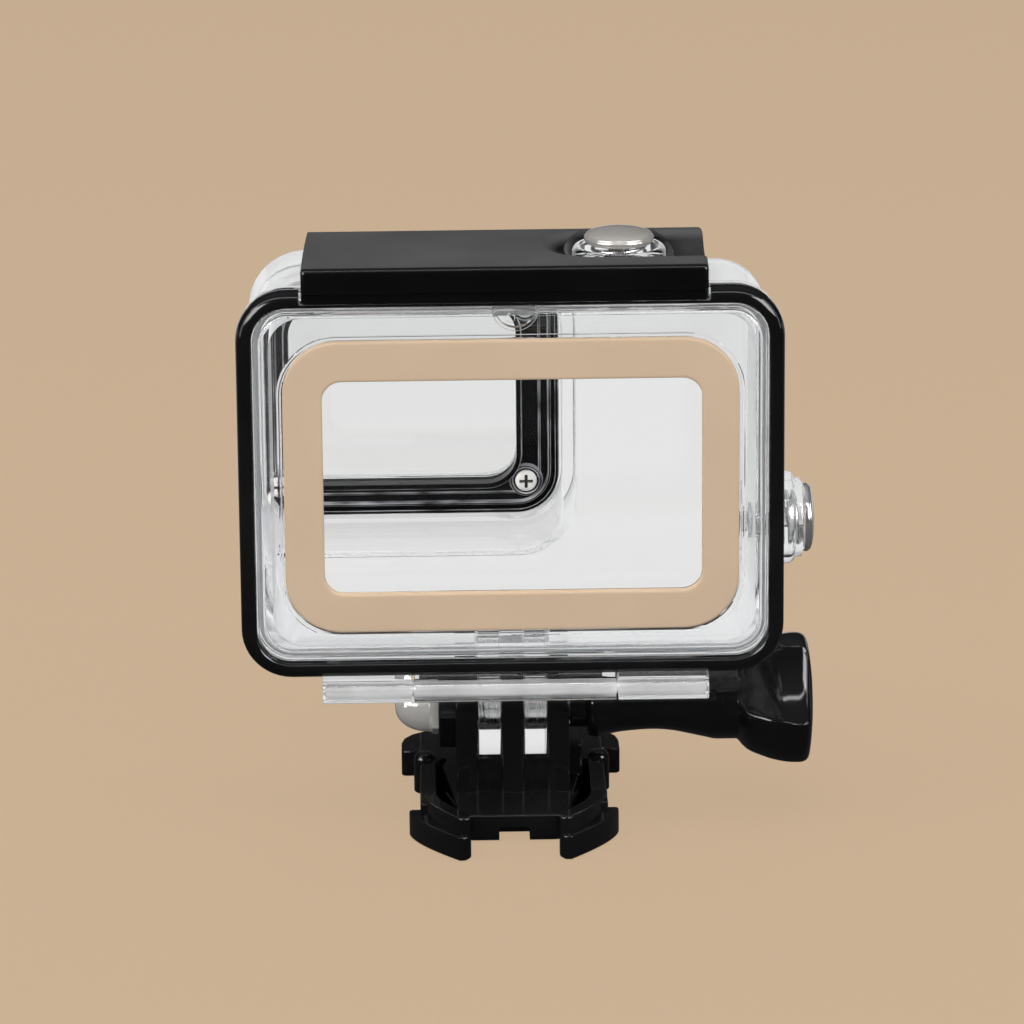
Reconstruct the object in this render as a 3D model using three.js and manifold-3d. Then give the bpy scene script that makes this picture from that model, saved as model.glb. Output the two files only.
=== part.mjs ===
// Underwater camera housing: a clear moulded case with a rear door, a top latch,
// two sprung buttons and a tilting quick-release buckle.
// Millimetres, +Z up, +X right and -Y towards the viewer of the door.
// The origin is the middle of the buckle's underside.
import * as THREE from 'three';
import { mergeVertices } from 'three/addons/utils/BufferGeometryUtils.js';
import Module from 'manifold-3d';

// Fits shared by every piece
const FIT = { gap: 0.3, slide: 0.1, overrun: 1.5, sink: 0.5, weld: 0.0005 };

// Tilt joint between the buckle and the case, whose underside is a reach above the axis
const TILT = {
  height: 14.5, reach: 10.7, pitch: 3.1, prongThick: 2.8, prongRadius: 7.5, boreRadius: 2.6, rodRadius: 2.45,
};

// Rear rim of the case and the black ring that wraps the door's edge
const RIM = { width: 72, height: 53, corner: 6.7, rear: -16 };
const RING = { wide: 2.1, deep: 2.6, roll: 0.9, seatGap: 0.2, skirt: 1.45 };
const RING_ROLL = { outerShare: 0.3, innerShare: 0.7, innerEdgeShare: 0.2, innerDropShare: 0.8 };
const FLANGE = { doorThick: 1.6, caseThick: 1.8 };

// Clear case, set in from the rim's sides and ends
const CASE = { sideStep: 1.5, endStep: 1.4, corner: 6.5, wall: 2.2, front: 12, edge: 5.6 };
const PORT = {
  proud: 0.7, drop: 3.5, width: 44.5, height: 38.3,
  corner: 8, wall: 1.8, front: 25.8, edge: 1.2,
};

// Black retainer frame, glass and seal inside the port
const VIEW = { leftMargin: 5.4, margin: 8, corner: 4.2 };
const RETAINER = {
  rear: 19, thick: 2.3, plate: 1.1, innerRib: 0.7,
  midRibFrom: 2.2, midRib: 0.6, outerRib: 1.1,
};
const GLASS = { thick: 1.8, overlap: 1 };
const GASKET = { thick: 0.5, wide: 0.8 };
const PORT_SCREW = {
  side: 1.6, end: 1.4, head: 1.5, headHigh: 1, shank: 0.8, length: 4.6,
  slot: 0.45, slotDeep: 0.5, crossShare: 0.62,
};

// Rear door
const DOOR = { stepWide: 1.2, stepHigh: 0.4, fieldSink: 0.2 };
const MEMBRANE = { side: 10.85, end: 11.65, corner: 2.7, bandSide: 4.85, bandEnd: 5.1, bandCorner: 4.6 };
const MEMBRANE_FIT = {
  seatDeep: 0.8, filmDeep: 0.6, film: 0.4, filmEdge: 2.8, frameProud: 0.4, bead: 0.6, beadProud: 0.3,
};
const SEAL = { from: 2.2, groove: 1.2, deep: 0.8, cordWide: 0.8 };
const NOTCH = { across: 0.65, radius: 2.65, deep: 0.9, lip: 0.45, dot: 0.6, dotDrop: 1.5, dotShift: -0.6 };

// Door hinge, in from the rim's rear and below its edge
const HINGE = {
  setIn: 0.8, drop: 2, radius: 1.65, pin: 0.8, doorFrom: -13.2, doorTo: 13.7, caseFrom: -25.4, caseTo: 26,
  webShare: 0.75,
};

// Top latch: its lip laps the ring's top edge, and its face and roof rise from that lip
const LATCH = {
  left: -27.3, right: 25.9, lap: 1.3, faceHigh: 3.2,
  crown: 0.3, proud: 1, pivotY: 1.2, pivotDrop: 2,
};
const LATCH_SKIRT = {
  lipHigh: 1.6, lipStep: 0.35, lipThick: 1.9, wall: 1.7,
  roof: 1.6, barrel: 2.3, ribs: 3,
};
const LATCH_LUG = {
  radius: 1.4, pin: 0.7, leftFrom: -24.5, leftTo: -21.5, rightFrom: 21.9, rightTo: 23.9,
  pinReach: 1.8, mouthDeg: 60,
};
const SCOOP = { left: 4.4, rear: -13.3, front: 0.6, deep: 1.9 };

// Shutter button on top and mode button on the right side, above the walls that carry them
const SHUTTER = { x: 14.6, y: -4.8, latchHole: 7.3, bossRise: 4.6, capRise: 2.1 };
const MODE = { y: -3.5, drop: 8.7, bossRise: 4.2, capRise: 2 };
const BUTTON = {
  bossRadius: 6.2, bossRoll: 0.6, wellRadius: 5.1, capRadius: 4.6, capEdge: 0.9, capDome: 1.3, capUnder: 0.5,
  wellFloor: 0.9, stem: 1.4, gland: 2.5, glandDeep: 1.2, clip: 2.6, clipThick: 0.45, clipSlot: 0.9,
  foot: 2.1, footThick: 0.7, recess: 2.9, recessDeep: 0.95, clipMouthDeg: 50,
};
const SPRING = { radius: 3.5, wire: 0.25, curls: 3, steps: 8, sides: 5 };
const O_RING = { wire: 0.42 };

// Quick-release buckle
const BUCKLE = {
  half: 12.6, front: 20, thick: 4.6, earHalf: 15.1,
  earFrom: 11.5, earHigh: 3.8, nose: 3.2,
};
const SPINE = {
  frontHalf: 9.7, rearHalf: 7.6, rear: -15, rearCorner: 2.2,
  rearHigh: 3.8, notchHalf: 2.05, notchHigh: 2.1, notchDeep: 4,
};
const CRADLE = { gap: 0.4, rearDeg: 221, frontDeg: 262 };
const COLLAR_REST = { out: 2, half: 1.2, drop: 5.6 };
const ARM = {
  pivotY: 5, thick: 2.2, knuckle: 1.7, lift: 0.4, high: 4.8,
  wingFrom: -14, wingMiddle: 7.2, rear: -22, wingHigh: 5.9, tip: 1.3, tipRoll: 0.4,
};
const ARM_PAD = {
  from: -10.9, bowFrom: -11.5, out: 1.65, high: 3.4, proud: 0.2, bowShare: 1.33, sinkShare: 0.9,
};
const PRONG_FOOT = { buckle: 8.2, case: 8.8, blockHalf: 9.2, blockHigh: 1.5, bedRise: 1 };

// Acorn nut, thumb screw and its knob
const NUT = { radius: 4.3, hexLong: 3.9, domeLong: 3.4, pocketWall: 1.6, pocketDeep: 2.4, floor: 0.4 };
const KNOB = {
  shank: 3.3, shankLong: 2.4, collar: 4.7, collarLong: 1.1, waist: 3.75, waistAt: 19, neck: 5.2,
  neckFrom: 27.9, neckTo: 30.6, headTo: 37.4, end: 40.7, lobe: 9.5, valley: 6.4, roll: 1.2,
  cup: 3.4, cupDeep: 1.2,
};
const LOBES = { count: 3, roundShare: 0.8, rollShare: 0.3 };
const ROD = { left: -13.2, right: 22, thread: 0.22, threadPitch: 1.6, crestShare: 0.5, rootShare: 0.8 };

// Facet counts
const FACETS = { corner: 5, edge: 4, round: 28, small: 16, lobed: 42 };

const wasm = await Module();
wasm.setup();

// Solid from any closed three.js geometry, facing out
function solidOf(geometry) {
  const bare = new THREE.BufferGeometry();
  bare.setAttribute('position', geometry.getAttribute('position'));
  if (geometry.index) bare.setIndex(geometry.index);
  const welded = mergeVertices(bare, FIT.weld);
  const place = welded.getAttribute('position');
  const index = welded.index.array;
  const kept = [];
  let volume = 0;
  const [a, b, c] = [new THREE.Vector3(), new THREE.Vector3(), new THREE.Vector3()];
  for (let i = 0; i < index.length; i += 3) {
    const [p, q, r] = [index[i], index[i + 1], index[i + 2]];
    if (p === q || q === r || r === p) continue;
    kept.push([p, q, r]);
    volume += a.fromBufferAttribute(place, p)
      .dot(b.fromBufferAttribute(place, q).cross(c.fromBufferAttribute(place, r)));
  }
  const faces = volume < 0 ? kept.map(([p, q, r]) => [p, r, q]) : kept;
  return new wasm.Manifold(new wasm.Mesh({
    numProp: 3,
    vertProperties: Float32Array.from(place.array),
    triVerts: Uint32Array.from(faces.flat()),
  }));
}

const join = (first, ...others) => others.reduce((all, next) => all.add(next), first);
const cut = (first, ...others) => others.reduce((all, next) => all.subtract(next), first);

// Outlines and closed forms

// Rounded rectangle as a ring of [u, v] points about a centre
function roundedRect(halfWide, halfHigh, corner, centre = [0, 0], facets = FACETS.corner) {
  const radius = Math.min(corner, halfWide, halfHigh);
  const points = [];
  for (let quarter = 0; quarter < 4; quarter += 1) {
    const sideU = quarter === 0 || quarter === 3 ? 1 : -1;
    const sideV = quarter < 2 ? 1 : -1;
    for (let step = 0; step <= facets; step += 1) {
      const angle = (quarter + step / facets) * Math.PI / 2;
      points.push([
        centre[0] + sideU * (halfWide - radius) + radius * Math.cos(angle),
        centre[1] + sideV * (halfHigh - radius) + radius * Math.sin(angle),
      ]);
    }
  }
  return points;
}

// Arc of [u, v] points between two angles in degrees
function arc(centre, radius, fromDeg, toDeg, facets = FACETS.corner) {
  return Array.from({ length: facets + 1 }, (_, step) => {
    const angle = THREE.MathUtils.degToRad(fromDeg + (toDeg - fromDeg) * step / facets);
    return [centre[0] + radius * Math.cos(angle), centre[1] + radius * Math.sin(angle)];
  });
}

const shapeOf = (points) => new THREE.Shape(points.map(([u, v]) => new THREE.Vector2(u, v)));

function extrusion(points, length, hole) {
  const shape = shapeOf(points);
  if (hole) shape.holes.push(new THREE.Path(hole.map(([u, v]) => new THREE.Vector2(u, v))));
  return new THREE.ExtrudeGeometry(shape, { depth: length, bevelEnabled: false });
}

// Outline in (y, z), pushed along X
function alongX(points, from, to, hole) {
  const turn = new THREE.Matrix4().makeBasis(
    new THREE.Vector3(0, 1, 0), new THREE.Vector3(0, 0, 1), new THREE.Vector3(1, 0, 0));
  return solidOf(extrusion(points, to - from, hole).applyMatrix4(turn).translate(from, 0, 0));
}

// Outline in (x, z), pushed along Y
function alongY(points, from, to, hole) {
  return solidOf(extrusion(points, to - from, hole).rotateX(Math.PI / 2).translate(0, to, 0));
}

// Outline in (x, y), pushed along Z
function alongZ(points, from, to, hole) {
  return solidOf(extrusion(points, to - from, hole).translate(0, 0, from));
}

const block = (x0, x1, y0, y1, z0, z1) => alongZ([[x0, y0], [x1, y0], [x1, y1], [x0, y1]], z0, z1);

// Round bar along X, Y or Z
function barX(y, z, radius, from, to, facets = FACETS.small) {
  return alongX(arc([y, z], radius, 0, 360 - 360 / facets, facets - 1), from, to);
}
function barY(x, z, radius, from, to, facets = FACETS.small) {
  return alongY(arc([x, z], radius, 0, 360 - 360 / facets, facets - 1), from, to);
}
function barZ(x, y, radius, from, to, facets = FACETS.small) {
  return alongZ(arc([x, y], radius, 0, 360 - 360 / facets, facets - 1), from, to);
}

// Turned solid about Z from [radius, height] points
function turned(profile, facets = FACETS.round) {
  const points = profile.map(([radius, height]) => new THREE.Vector2(radius, height));
  return solidOf(new THREE.LatheGeometry(points, facets).rotateX(Math.PI / 2));
}

// Skin over rings of points: open rings get end caps, a closed run joins last to first
function skin(rings, closed = false) {
  const count = rings[0].length;
  const places = rings.flat(2);
  const faces = [];
  const spans = closed ? rings.length : rings.length - 1;
  for (let ring = 0; ring < spans; ring += 1) {
    const next = (ring + 1) % rings.length;
    for (let i = 0; i < count; i += 1) {
      const j = (i + 1) % count;
      faces.push(ring * count + i, ring * count + j, next * count + j);
      faces.push(ring * count + i, next * count + j, next * count + i);
    }
  }
  if (!closed) {
    for (const [ring, flip] of [[0, true], [rings.length - 1, false]]) {
      const middle = rings[ring].reduce((sum, p) => sum.map((value, k) => value + p[k] / count), [0, 0, 0]);
      const centre = places.length / 3;
      places.push(...middle);
      for (let i = 0; i < count; i += 1) {
        const j = (i + 1) % count;
        faces.push(centre, ring * count + (flip ? j : i), ring * count + (flip ? i : j));
      }
    }
  }
  const geometry = new THREE.BufferGeometry();
  geometry.setAttribute('position', new THREE.Float32BufferAttribute(places, 3));
  geometry.setIndex(faces);
  return solidOf(geometry);
}

// Rounded rectangles in the rim's plane, drawn in from the rim or from the case by an inset
const rimOutline = (inset) => roundedRect(
  RIM.width / 2 - inset, RIM.height / 2 - inset, RIM.corner - inset, [0, rimCentre]);
const caseOutline = (inset) => roundedRect(
  caseSide - inset, caseTop - rimCentre - inset, CASE.corner - inset, [0, rimCentre]);

// Can with a rounded front edge: outline drawn in along a quarter circle
function can(outlineAt, rear, front, edge) {
  const rings = [outlineAt(0).map(([x, z]) => [x, rear, z])];
  for (let step = 0; step <= FACETS.edge; step += 1) {
    const angle = step / FACETS.edge * Math.PI / 2;
    const inset = edge * (1 - Math.cos(angle));
    const y = front - edge + edge * Math.sin(angle);
    rings.push(outlineAt(inset).map(([x, z]) => [x, y, z]));
  }
  return skin(rings);
}

// Moulding that follows a rim outline: profile points are [inset, y]
function moulding(outlineAt, profile) {
  return skin(profile.map(([inset, y]) => outlineAt(inset).map(([x, z]) => [x, y, z])), true);
}

// Shared places, worked out from the sizes above
const caseBottom = TILT.height + TILT.reach;
const rimCentre = caseBottom + RIM.height / 2 - CASE.endStep;
const rimTop = rimCentre + RIM.height / 2;
const rimBottom = rimCentre - RIM.height / 2;
const caseTop = rimTop - CASE.endStep;
const caseSide = RIM.width / 2 - CASE.sideStep;
const fieldRear = RIM.rear + DOOR.fieldSink;
const doorFlangeInset = RING.skirt + RING.seatGap;
const doorFlangeRear = RIM.rear + RING.deep + RING.seatGap;
const doorFlangeFront = doorFlangeRear + FLANGE.doorThick;
const caseRear = doorFlangeFront + FIT.gap;
const hingeY = RIM.rear + HINGE.setIn;
const hingeZ = rimBottom - HINGE.drop;
const portLeft = -caseSide - PORT.proud;
const portTop = caseTop - PORT.drop;
const portHalf = [PORT.width / 2, PORT.height / 2];
const portCentre = [portLeft + portHalf[0], portTop - portHalf[1]];
const view = {
  left: portLeft + VIEW.leftMargin, right: portLeft + PORT.width - VIEW.margin,
  bottom: portTop - PORT.height + VIEW.margin, top: portTop - VIEW.margin,
};
const viewCentre = [(view.left + view.right) / 2, (view.bottom + view.top) / 2];
const viewHalf = [(view.right - view.left) / 2, (view.top - view.bottom) / 2];
const retainerFront = RETAINER.rear + RETAINER.thick;
const glassRear = retainerFront + FIT.gap;
const gasketRear = glassRear + GLASS.thick + FIT.slide;
const glassPocketEnd = gasketRear + GASKET.thick + FIT.slide;
const latchRear = RIM.rear - LATCH.proud;
const latchLipBottom = rimTop - LATCH.lap;
const latchFaceBottom = latchLipBottom + LATCH_SKIRT.lipHigh;
const latchTop = latchFaceBottom + LATCH.faceHigh;
const latchPivot = [LATCH.pivotY, latchTop - LATCH.pivotDrop];
const latchCutFloor = latchLipBottom - FIT.gap;
const rodBore = TILT.rodRadius + FIT.slide;

const portOutline = (inset) => roundedRect(
  portHalf[0] - inset, portHalf[1] - inset, PORT.corner - inset, portCentre);
const viewOutline = (grow) => roundedRect(
  viewHalf[0] + grow, viewHalf[1] + grow, VIEW.corner + grow, viewCentre);

function portScrewPlaces() {
  const left = view.left - PORT_SCREW.side;
  const right = view.right + PORT_SCREW.side - FIT.gap;
  const bottom = view.bottom - PORT_SCREW.end;
  const top = view.top + PORT_SCREW.end;
  return [[right, bottom], [left, bottom], [right, top], [left, top]];
}

// Buttons: every button solid is made standing on Z with its cap's end at zero
function shutterPlace(solid) {
  return solid.translate([SHUTTER.x, SHUTTER.y, caseTop + SHUTTER.bossRise + SHUTTER.capRise]);
}
function modePlace(solid) {
  const end = caseSide + MODE.bossRise + MODE.capRise;
  return solid.rotate([0, 90, 0]).translate([end, MODE.y, rimCentre - MODE.drop]);
}

// Heights of one button's features below its cap's end, from the wall that carries it
function buttonLevels(button, recess) {
  const wall = -button.bossRise - button.capRise;
  const ceiling = wall - CASE.wall + recess;
  return {
    bossEnd: -button.capRise,
    wall,
    inner: wall - CASE.wall,
    ceiling,
    floor: wall + BUTTON.wellFloor,
    capUnder: -BUTTON.capDome - BUTTON.capEdge,
    clipTop: ceiling - FIT.gap / 2,
  };
}
const shutterLevels = buttonLevels(SHUTTER, BUTTON.recessDeep);
const modeLevels = buttonLevels(MODE, 0);

function buttonBoss(levels) {
  const bottom = levels.wall - FIT.sink;
  const roll = BUTTON.bossRoll;
  return turned([[0, bottom], [BUTTON.bossRadius, bottom], [BUTTON.bossRadius, levels.bossEnd - roll],
    [BUTTON.bossRadius - roll, levels.bossEnd], [0, levels.bossEnd]]);
}

// Well for the cap, gland for the seal, bore for the stem and room for the clip
function buttonBore(levels) {
  const gland = levels.floor - BUTTON.glandDeep;
  const bore = BUTTON.stem + FIT.slide;
  const below = levels.inner - FIT.overrun;
  return turned([[0, below], [BUTTON.recess, below], [BUTTON.recess, levels.ceiling],
    [bore, levels.ceiling], [bore, gland], [BUTTON.gland, gland], [BUTTON.gland, levels.floor],
    [BUTTON.wellRadius, levels.floor], [BUTTON.wellRadius, levels.bossEnd + FIT.overrun],
    [0, levels.bossEnd + FIT.overrun]]);
}

// Chrome cap with a low dome, on a stem that carries the clip and the foot
function buttonCap(levels) {
  const edgeTop = -BUTTON.capDome;
  const dome = Array.from({ length: FACETS.corner }, (_, step) => {
    const share = step / FACETS.corner;
    return [BUTTON.capRadius * Math.cos(share * Math.PI / 2), edgeTop * (1 - Math.sin(share * Math.PI / 2))];
  });
  const slotTop = levels.clipTop;
  const slotBottom = slotTop - BUTTON.clipThick - FIT.slide;
  const stemEnd = slotBottom - BUTTON.clipSlot;
  return turned([
    [0, stemEnd], [BUTTON.stem, stemEnd], [BUTTON.stem, slotBottom],
    [BUTTON.stem - BUTTON.capUnder, slotBottom], [BUTTON.stem - BUTTON.capUnder, slotTop + FIT.slide],
    [BUTTON.stem, slotTop + FIT.slide], [BUTTON.stem, levels.capUnder + BUTTON.capUnder],
    [BUTTON.capRadius - BUTTON.capUnder, levels.capUnder + BUTTON.capUnder],
    [BUTTON.capRadius, levels.capUnder + BUTTON.capUnder + FIT.gap / 2],
    ...dome, [0, 0],
  ]);
}

// Spring clip: a flat ring with an open mouth, snapped into the stem's slot
function buttonClip(levels) {
  const inner = BUTTON.stem - BUTTON.capUnder + FIT.slide;
  const mouth = BUTTON.clipMouthDeg;
  const outside = arc([0, 0], BUTTON.clip, mouth, 360 - mouth, FACETS.small);
  const inside = arc([0, 0], inner, 360 - mouth, mouth, FACETS.small);
  return alongZ([...outside, ...inside], levels.clipTop - BUTTON.clipThick, levels.clipTop);
}

// Soft foot that presses the camera's own button
function buttonFoot(levels) {
  const top = levels.clipTop - BUTTON.clipThick - FIT.slide - BUTTON.clipSlot - FIT.slide;
  const roll = BUTTON.footThick / 3;
  return turned([[0, top - BUTTON.footThick], [BUTTON.foot - roll, top - BUTTON.footThick],
    [BUTTON.foot, top - BUTTON.footThick + roll], [BUTTON.foot, top], [0, top]], FACETS.small);
}

// Seal ring that sits in the gland around the stem
function buttonSeal(levels) {
  const middle = levels.floor - BUTTON.glandDeep / 2;
  const radius = (BUTTON.gland + BUTTON.stem) / 2;
  const section = arc([radius, middle], O_RING.wire, 0, 360, 6);
  return turned(section, FACETS.small);
}

// Spring between the well's floor and the cap, with closed ends left out
function buttonSpring(levels, name) {
  const low = levels.floor + FIT.slide + SPRING.wire;
  const high = levels.capUnder + BUTTON.capUnder - FIT.slide - SPRING.wire;
  const steps = SPRING.curls * SPRING.steps;
  const rings = [];
  const spine = [];
  const rise = (high - low) / (SPRING.curls * 2 * Math.PI * SPRING.radius);
  for (let step = 0; step <= steps; step += 1) {
    const angle = step / SPRING.steps * 2 * Math.PI;
    const out = new THREE.Vector3(Math.cos(angle), Math.sin(angle), 0);
    const along = new THREE.Vector3(-Math.sin(angle), Math.cos(angle), rise).normalize();
    const side = new THREE.Vector3().crossVectors(out, along);
    const centre = out.clone().multiplyScalar(SPRING.radius);
    centre.z = low + (high - low) * step / steps;
    spine.push(centre);
    rings.push(Array.from({ length: SPRING.sides }, (_, k) => {
      const turn = k / SPRING.sides * 2 * Math.PI;
      const point = centre.clone()
        .addScaledVector(out, SPRING.wire * Math.cos(turn))
        .addScaledVector(side, SPRING.wire * Math.sin(turn));
      return [point.x, point.y, point.z];
    }));
  }
  reportLeastGap(spine, name);
  return skin(rings);
}

// Least distance between two curls of a spring, less the wire's thickness
function reportLeastGap(spine, name) {
  let least = Infinity;
  for (let i = 0; i < spine.length; i += 1) {
    for (let j = i + SPRING.steps / 2; j < spine.length; j += 1) {
      least = Math.min(least, spine[i].distanceTo(spine[j]));
    }
  }
  console.log(`${name}: least gap ${(least - 2 * SPRING.wire).toFixed(3)} mm`);
}

// Clear case

function caseShell() {
  const body = can(caseOutline, caseRear + FIT.sink, CASE.front, CASE.edge);
  const flange = alongY(rimOutline(0), caseRear, caseRear + FLANGE.caseThick);
  const port = can(portOutline, CASE.front - CASE.edge, PORT.front, PORT.edge);
  return join(body, flange, port);
}

function caseCavity() {
  const roomOutline = (inset) => caseOutline(CASE.wall + inset);
  const room = can(roomOutline, caseRear - FIT.overrun, CASE.front - CASE.wall, CASE.edge - CASE.wall);
  const tunnelRear = CASE.front - CASE.edge;
  const tunnel = alongY(portOutline(PORT.wall), tunnelRear, glassRear - FIT.gap);
  const pocket = alongY(viewOutline(GLASS.overlap + FIT.gap), tunnelRear, glassPocketEnd);
  const sight = alongY(viewOutline(0), tunnelRear, PORT.front + FIT.overrun);
  const chamfer = skin([
    viewOutline(0).map(([x, z]) => [x, PORT.front - FIT.sink, z]),
    viewOutline(FIT.sink + FIT.gap).map(([x, z]) => [x, PORT.front + FIT.gap, z]),
  ]);
  return join(room, tunnel, pocket, sight, chamfer);
}

function latchLug(from, to) {
  const foot = caseTop - FIT.sink;
  const half = LATCH_LUG.radius;
  const outline = [
    [LATCH.pivotY + half, foot], ...arc(latchPivot, half, 0, 180), [LATCH.pivotY - half, foot]];
  return alongX(outline, from, to);
}

function caseKnuckle(from, to) {
  const top = hingeZ + HINGE.radius;
  const front = caseRear + FLANGE.caseThick;
  const low = hingeZ - HINGE.radius * HINGE.webShare;
  const outline = [
    ...arc([hingeY, hingeZ], HINGE.radius, 90, 300, 2 * FACETS.corner),
    [front - FIT.sink, low], [front + FIT.sink, low + FIT.sink],
    [front + FIT.sink, caseBottom + CASE.wall / 2], [caseRear, caseBottom + CASE.wall / 2], [caseRear, top]];
  return alongX(outline, from, to);
}

// Prong outline in (y, z): round about the tilt axis, running to a straight foot
function prongOutline(footHalf, footHeight) {
  const middle = [0, TILT.height];
  const up = footHeight > TILT.height;
  const round = up ? arc(middle, TILT.prongRadius, 180, 360, 2 * FACETS.corner)
    : arc(middle, TILT.prongRadius, 0, 180, 2 * FACETS.corner);
  return up ? [...round, [footHalf, footHeight], [-footHalf, footHeight]]
    : [...round, [-footHalf, footHeight], [footHalf, footHeight]];
}

function prong(x, footHalf, footHeight) {
  const half = TILT.prongThick / 2;
  return alongX(prongOutline(footHalf, footHeight), x - half, x + half);
}

function caseProngs() {
  const foot = caseBottom + FIT.sink;
  const half = TILT.pitch + TILT.prongThick / 2;
  const pad = alongZ(
    roundedRect(half + FIT.sink, PRONG_FOOT.blockHalf, FIT.sink + FIT.gap, [0, 0]),
    caseBottom - PRONG_FOOT.blockHigh, foot);
  return [prong(-TILT.pitch, PRONG_FOOT.case, foot), prong(TILT.pitch, PRONG_FOOT.case, foot), pad];
}

function frontCase() {
  const body = join(
    caseShell(),
    shutterPlace(buttonBoss(shutterLevels)),
    modePlace(buttonBoss(modeLevels)),
    latchLug(LATCH_LUG.leftFrom, LATCH_LUG.leftTo),
    latchLug(LATCH_LUG.rightFrom, LATCH_LUG.rightTo),
    caseKnuckle(HINGE.caseFrom, HINGE.doorFrom - FIT.gap),
    caseKnuckle(HINGE.doorTo + FIT.gap, HINGE.caseTo),
    ...caseProngs());
  const pinBore = HINGE.pin + FIT.slide;
  const screwEnd = RETAINER.rear + PORT_SCREW.length + FIT.gap;
  const screwBores = portScrewPlaces().map(([x, z]) => barY(
    x, z, PORT_SCREW.shank + FIT.slide, glassRear - FIT.overrun, screwEnd));
  return cut(
    body,
    caseCavity(),
    shutterPlace(buttonBore(shutterLevels)),
    modePlace(buttonBore(modeLevels)),
    barX(...latchPivot, LATCH_LUG.pin + FIT.slide, LATCH.left, LATCH.right),
    barX(hingeY, hingeZ, pinBore, HINGE.caseFrom - FIT.overrun, HINGE.caseTo + FIT.overrun),
    barX(0, TILT.height, TILT.boreRadius, -KNOB.end, KNOB.end),
    ...screwBores);
}

// Port glass, gasket, retainer frame and screws

function portGlass() {
  return alongY(viewOutline(GLASS.overlap), glassRear, glassRear + GLASS.thick);
}

function portGasket() {
  const inside = viewOutline(GLASS.overlap - GASKET.wide);
  return alongY(viewOutline(GLASS.overlap), gasketRear, gasketRear + GASKET.thick, inside);
}

// Ribbed frame: a plate with three raised ribs and a round seat for each screw
function portRetainer() {
  const outside = portOutline(PORT.wall + FIT.gap);
  const plateRear = retainerFront - RETAINER.plate;
  const plate = alongY(outside, plateRear, retainerFront);
  const outerRib = alongY(
    outside, RETAINER.rear, retainerFront, portOutline(PORT.wall + FIT.gap + RETAINER.outerRib));
  const innerRib = alongY(viewOutline(RETAINER.innerRib), RETAINER.rear + FIT.gap, retainerFront);
  const midRib = alongY(
    viewOutline(RETAINER.midRibFrom + RETAINER.midRib), RETAINER.rear + FIT.sink, retainerFront,
    viewOutline(RETAINER.midRibFrom));
  const seatRear = RETAINER.rear + PORT_SCREW.headHigh;
  const seats = portScrewPlaces().map(([x, z]) => barY(
    x, z, PORT_SCREW.head + FIT.sink, seatRear, retainerFront));
  const clear = portScrewPlaces().map(([x, z]) => barY(
    x, z, PORT_SCREW.head + FIT.gap, RETAINER.rear - FIT.overrun, seatRear));
  const bores = portScrewPlaces().map(([x, z]) => barY(
    x, z, PORT_SCREW.shank + FIT.slide, RETAINER.rear - FIT.overrun, retainerFront + FIT.overrun));
  const bound = alongY(outside, RETAINER.rear - FIT.overrun, retainerFront + FIT.overrun);
  const opening = alongY(viewOutline(0), RETAINER.rear - FIT.overrun, retainerFront + FIT.overrun);
  const ribs = join(plate, outerRib, innerRib, midRib, ...seats);
  return cut(ribs.intersect(bound), opening, ...clear, ...bores);
}

// Pan-head screw with a cross recess, driven from inside the case
function portScrew([x, z]) {
  const headRear = RETAINER.rear + FIT.slide;
  const headFront = headRear + PORT_SCREW.headHigh - 2 * FIT.slide;
  const crown = PORT_SCREW.headHigh / 4;
  const profile = [
    [0, headRear], [PORT_SCREW.head - crown, headRear], [PORT_SCREW.head, headRear + crown],
    [PORT_SCREW.head, headFront], [PORT_SCREW.shank, headFront],
    [PORT_SCREW.shank, RETAINER.rear + PORT_SCREW.length], [0, RETAINER.rear + PORT_SCREW.length]];
  const points = profile.map(([radius, height]) => new THREE.Vector2(radius, height));
  const body = solidOf(new THREE.LatheGeometry(points, FACETS.small)).translate([x, 0, z]);
  const arm = PORT_SCREW.head * PORT_SCREW.crossShare;
  const half = PORT_SCREW.slot / 2;
  const from = headRear - FIT.overrun;
  const to = headRear + PORT_SCREW.slotDeep;
  return cut(
    body,
    block(x - arm, x + arm, from, to, z - half, z + half),
    block(x - half, x + half, from, to, z - arm, z + arm));
}

// Rear door

const windowHalf = [RIM.width / 2 - MEMBRANE.side, RIM.height / 2 - MEMBRANE.end];
const doorField = (inset) => rimOutline(RING.wide + RING.seatGap + inset);
const windowOutline = (grow) => roundedRect(
  windowHalf[0] + grow, windowHalf[1] + grow, MEMBRANE.corner + grow, [0, rimCentre]);
const frameOutline = (grow) => roundedRect(
  windowHalf[0] + MEMBRANE.bandSide + grow, windowHalf[1] + MEMBRANE.bandEnd + grow,
  MEMBRANE.corner + MEMBRANE.bandCorner + grow, [0, rimCentre]);

// Room that the latch's lip needs in the top of the ring and of the door's flange
function latchRoom() {
  return block(
    LATCH.left - FIT.gap, LATCH.right + FIT.gap, RIM.rear - FIT.overrun, doorFlangeFront + FIT.slide,
    latchCutFloor, rimTop + FIT.overrun);
}

// Barrel in the middle of the hinge, on an arm that reaches under the ring to the flange
function doorBarrel() {
  const top = hingeZ + HINGE.radius;
  const flangeBottom = rimBottom + doorFlangeInset + FIT.sink;
  const armRear = doorFlangeRear + FIT.slide;
  const armFront = doorFlangeFront - FIT.gap;
  const outline = [
    ...arc([hingeY, hingeZ], HINGE.radius, 90, 290, 2 * FACETS.corner),
    [armFront, hingeZ + HINGE.radius / 3], [armFront, flangeBottom], [armRear, flangeBottom], [armRear, top]];
  return alongX(outline, HINGE.doorFrom, HINGE.doorTo);
}

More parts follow.
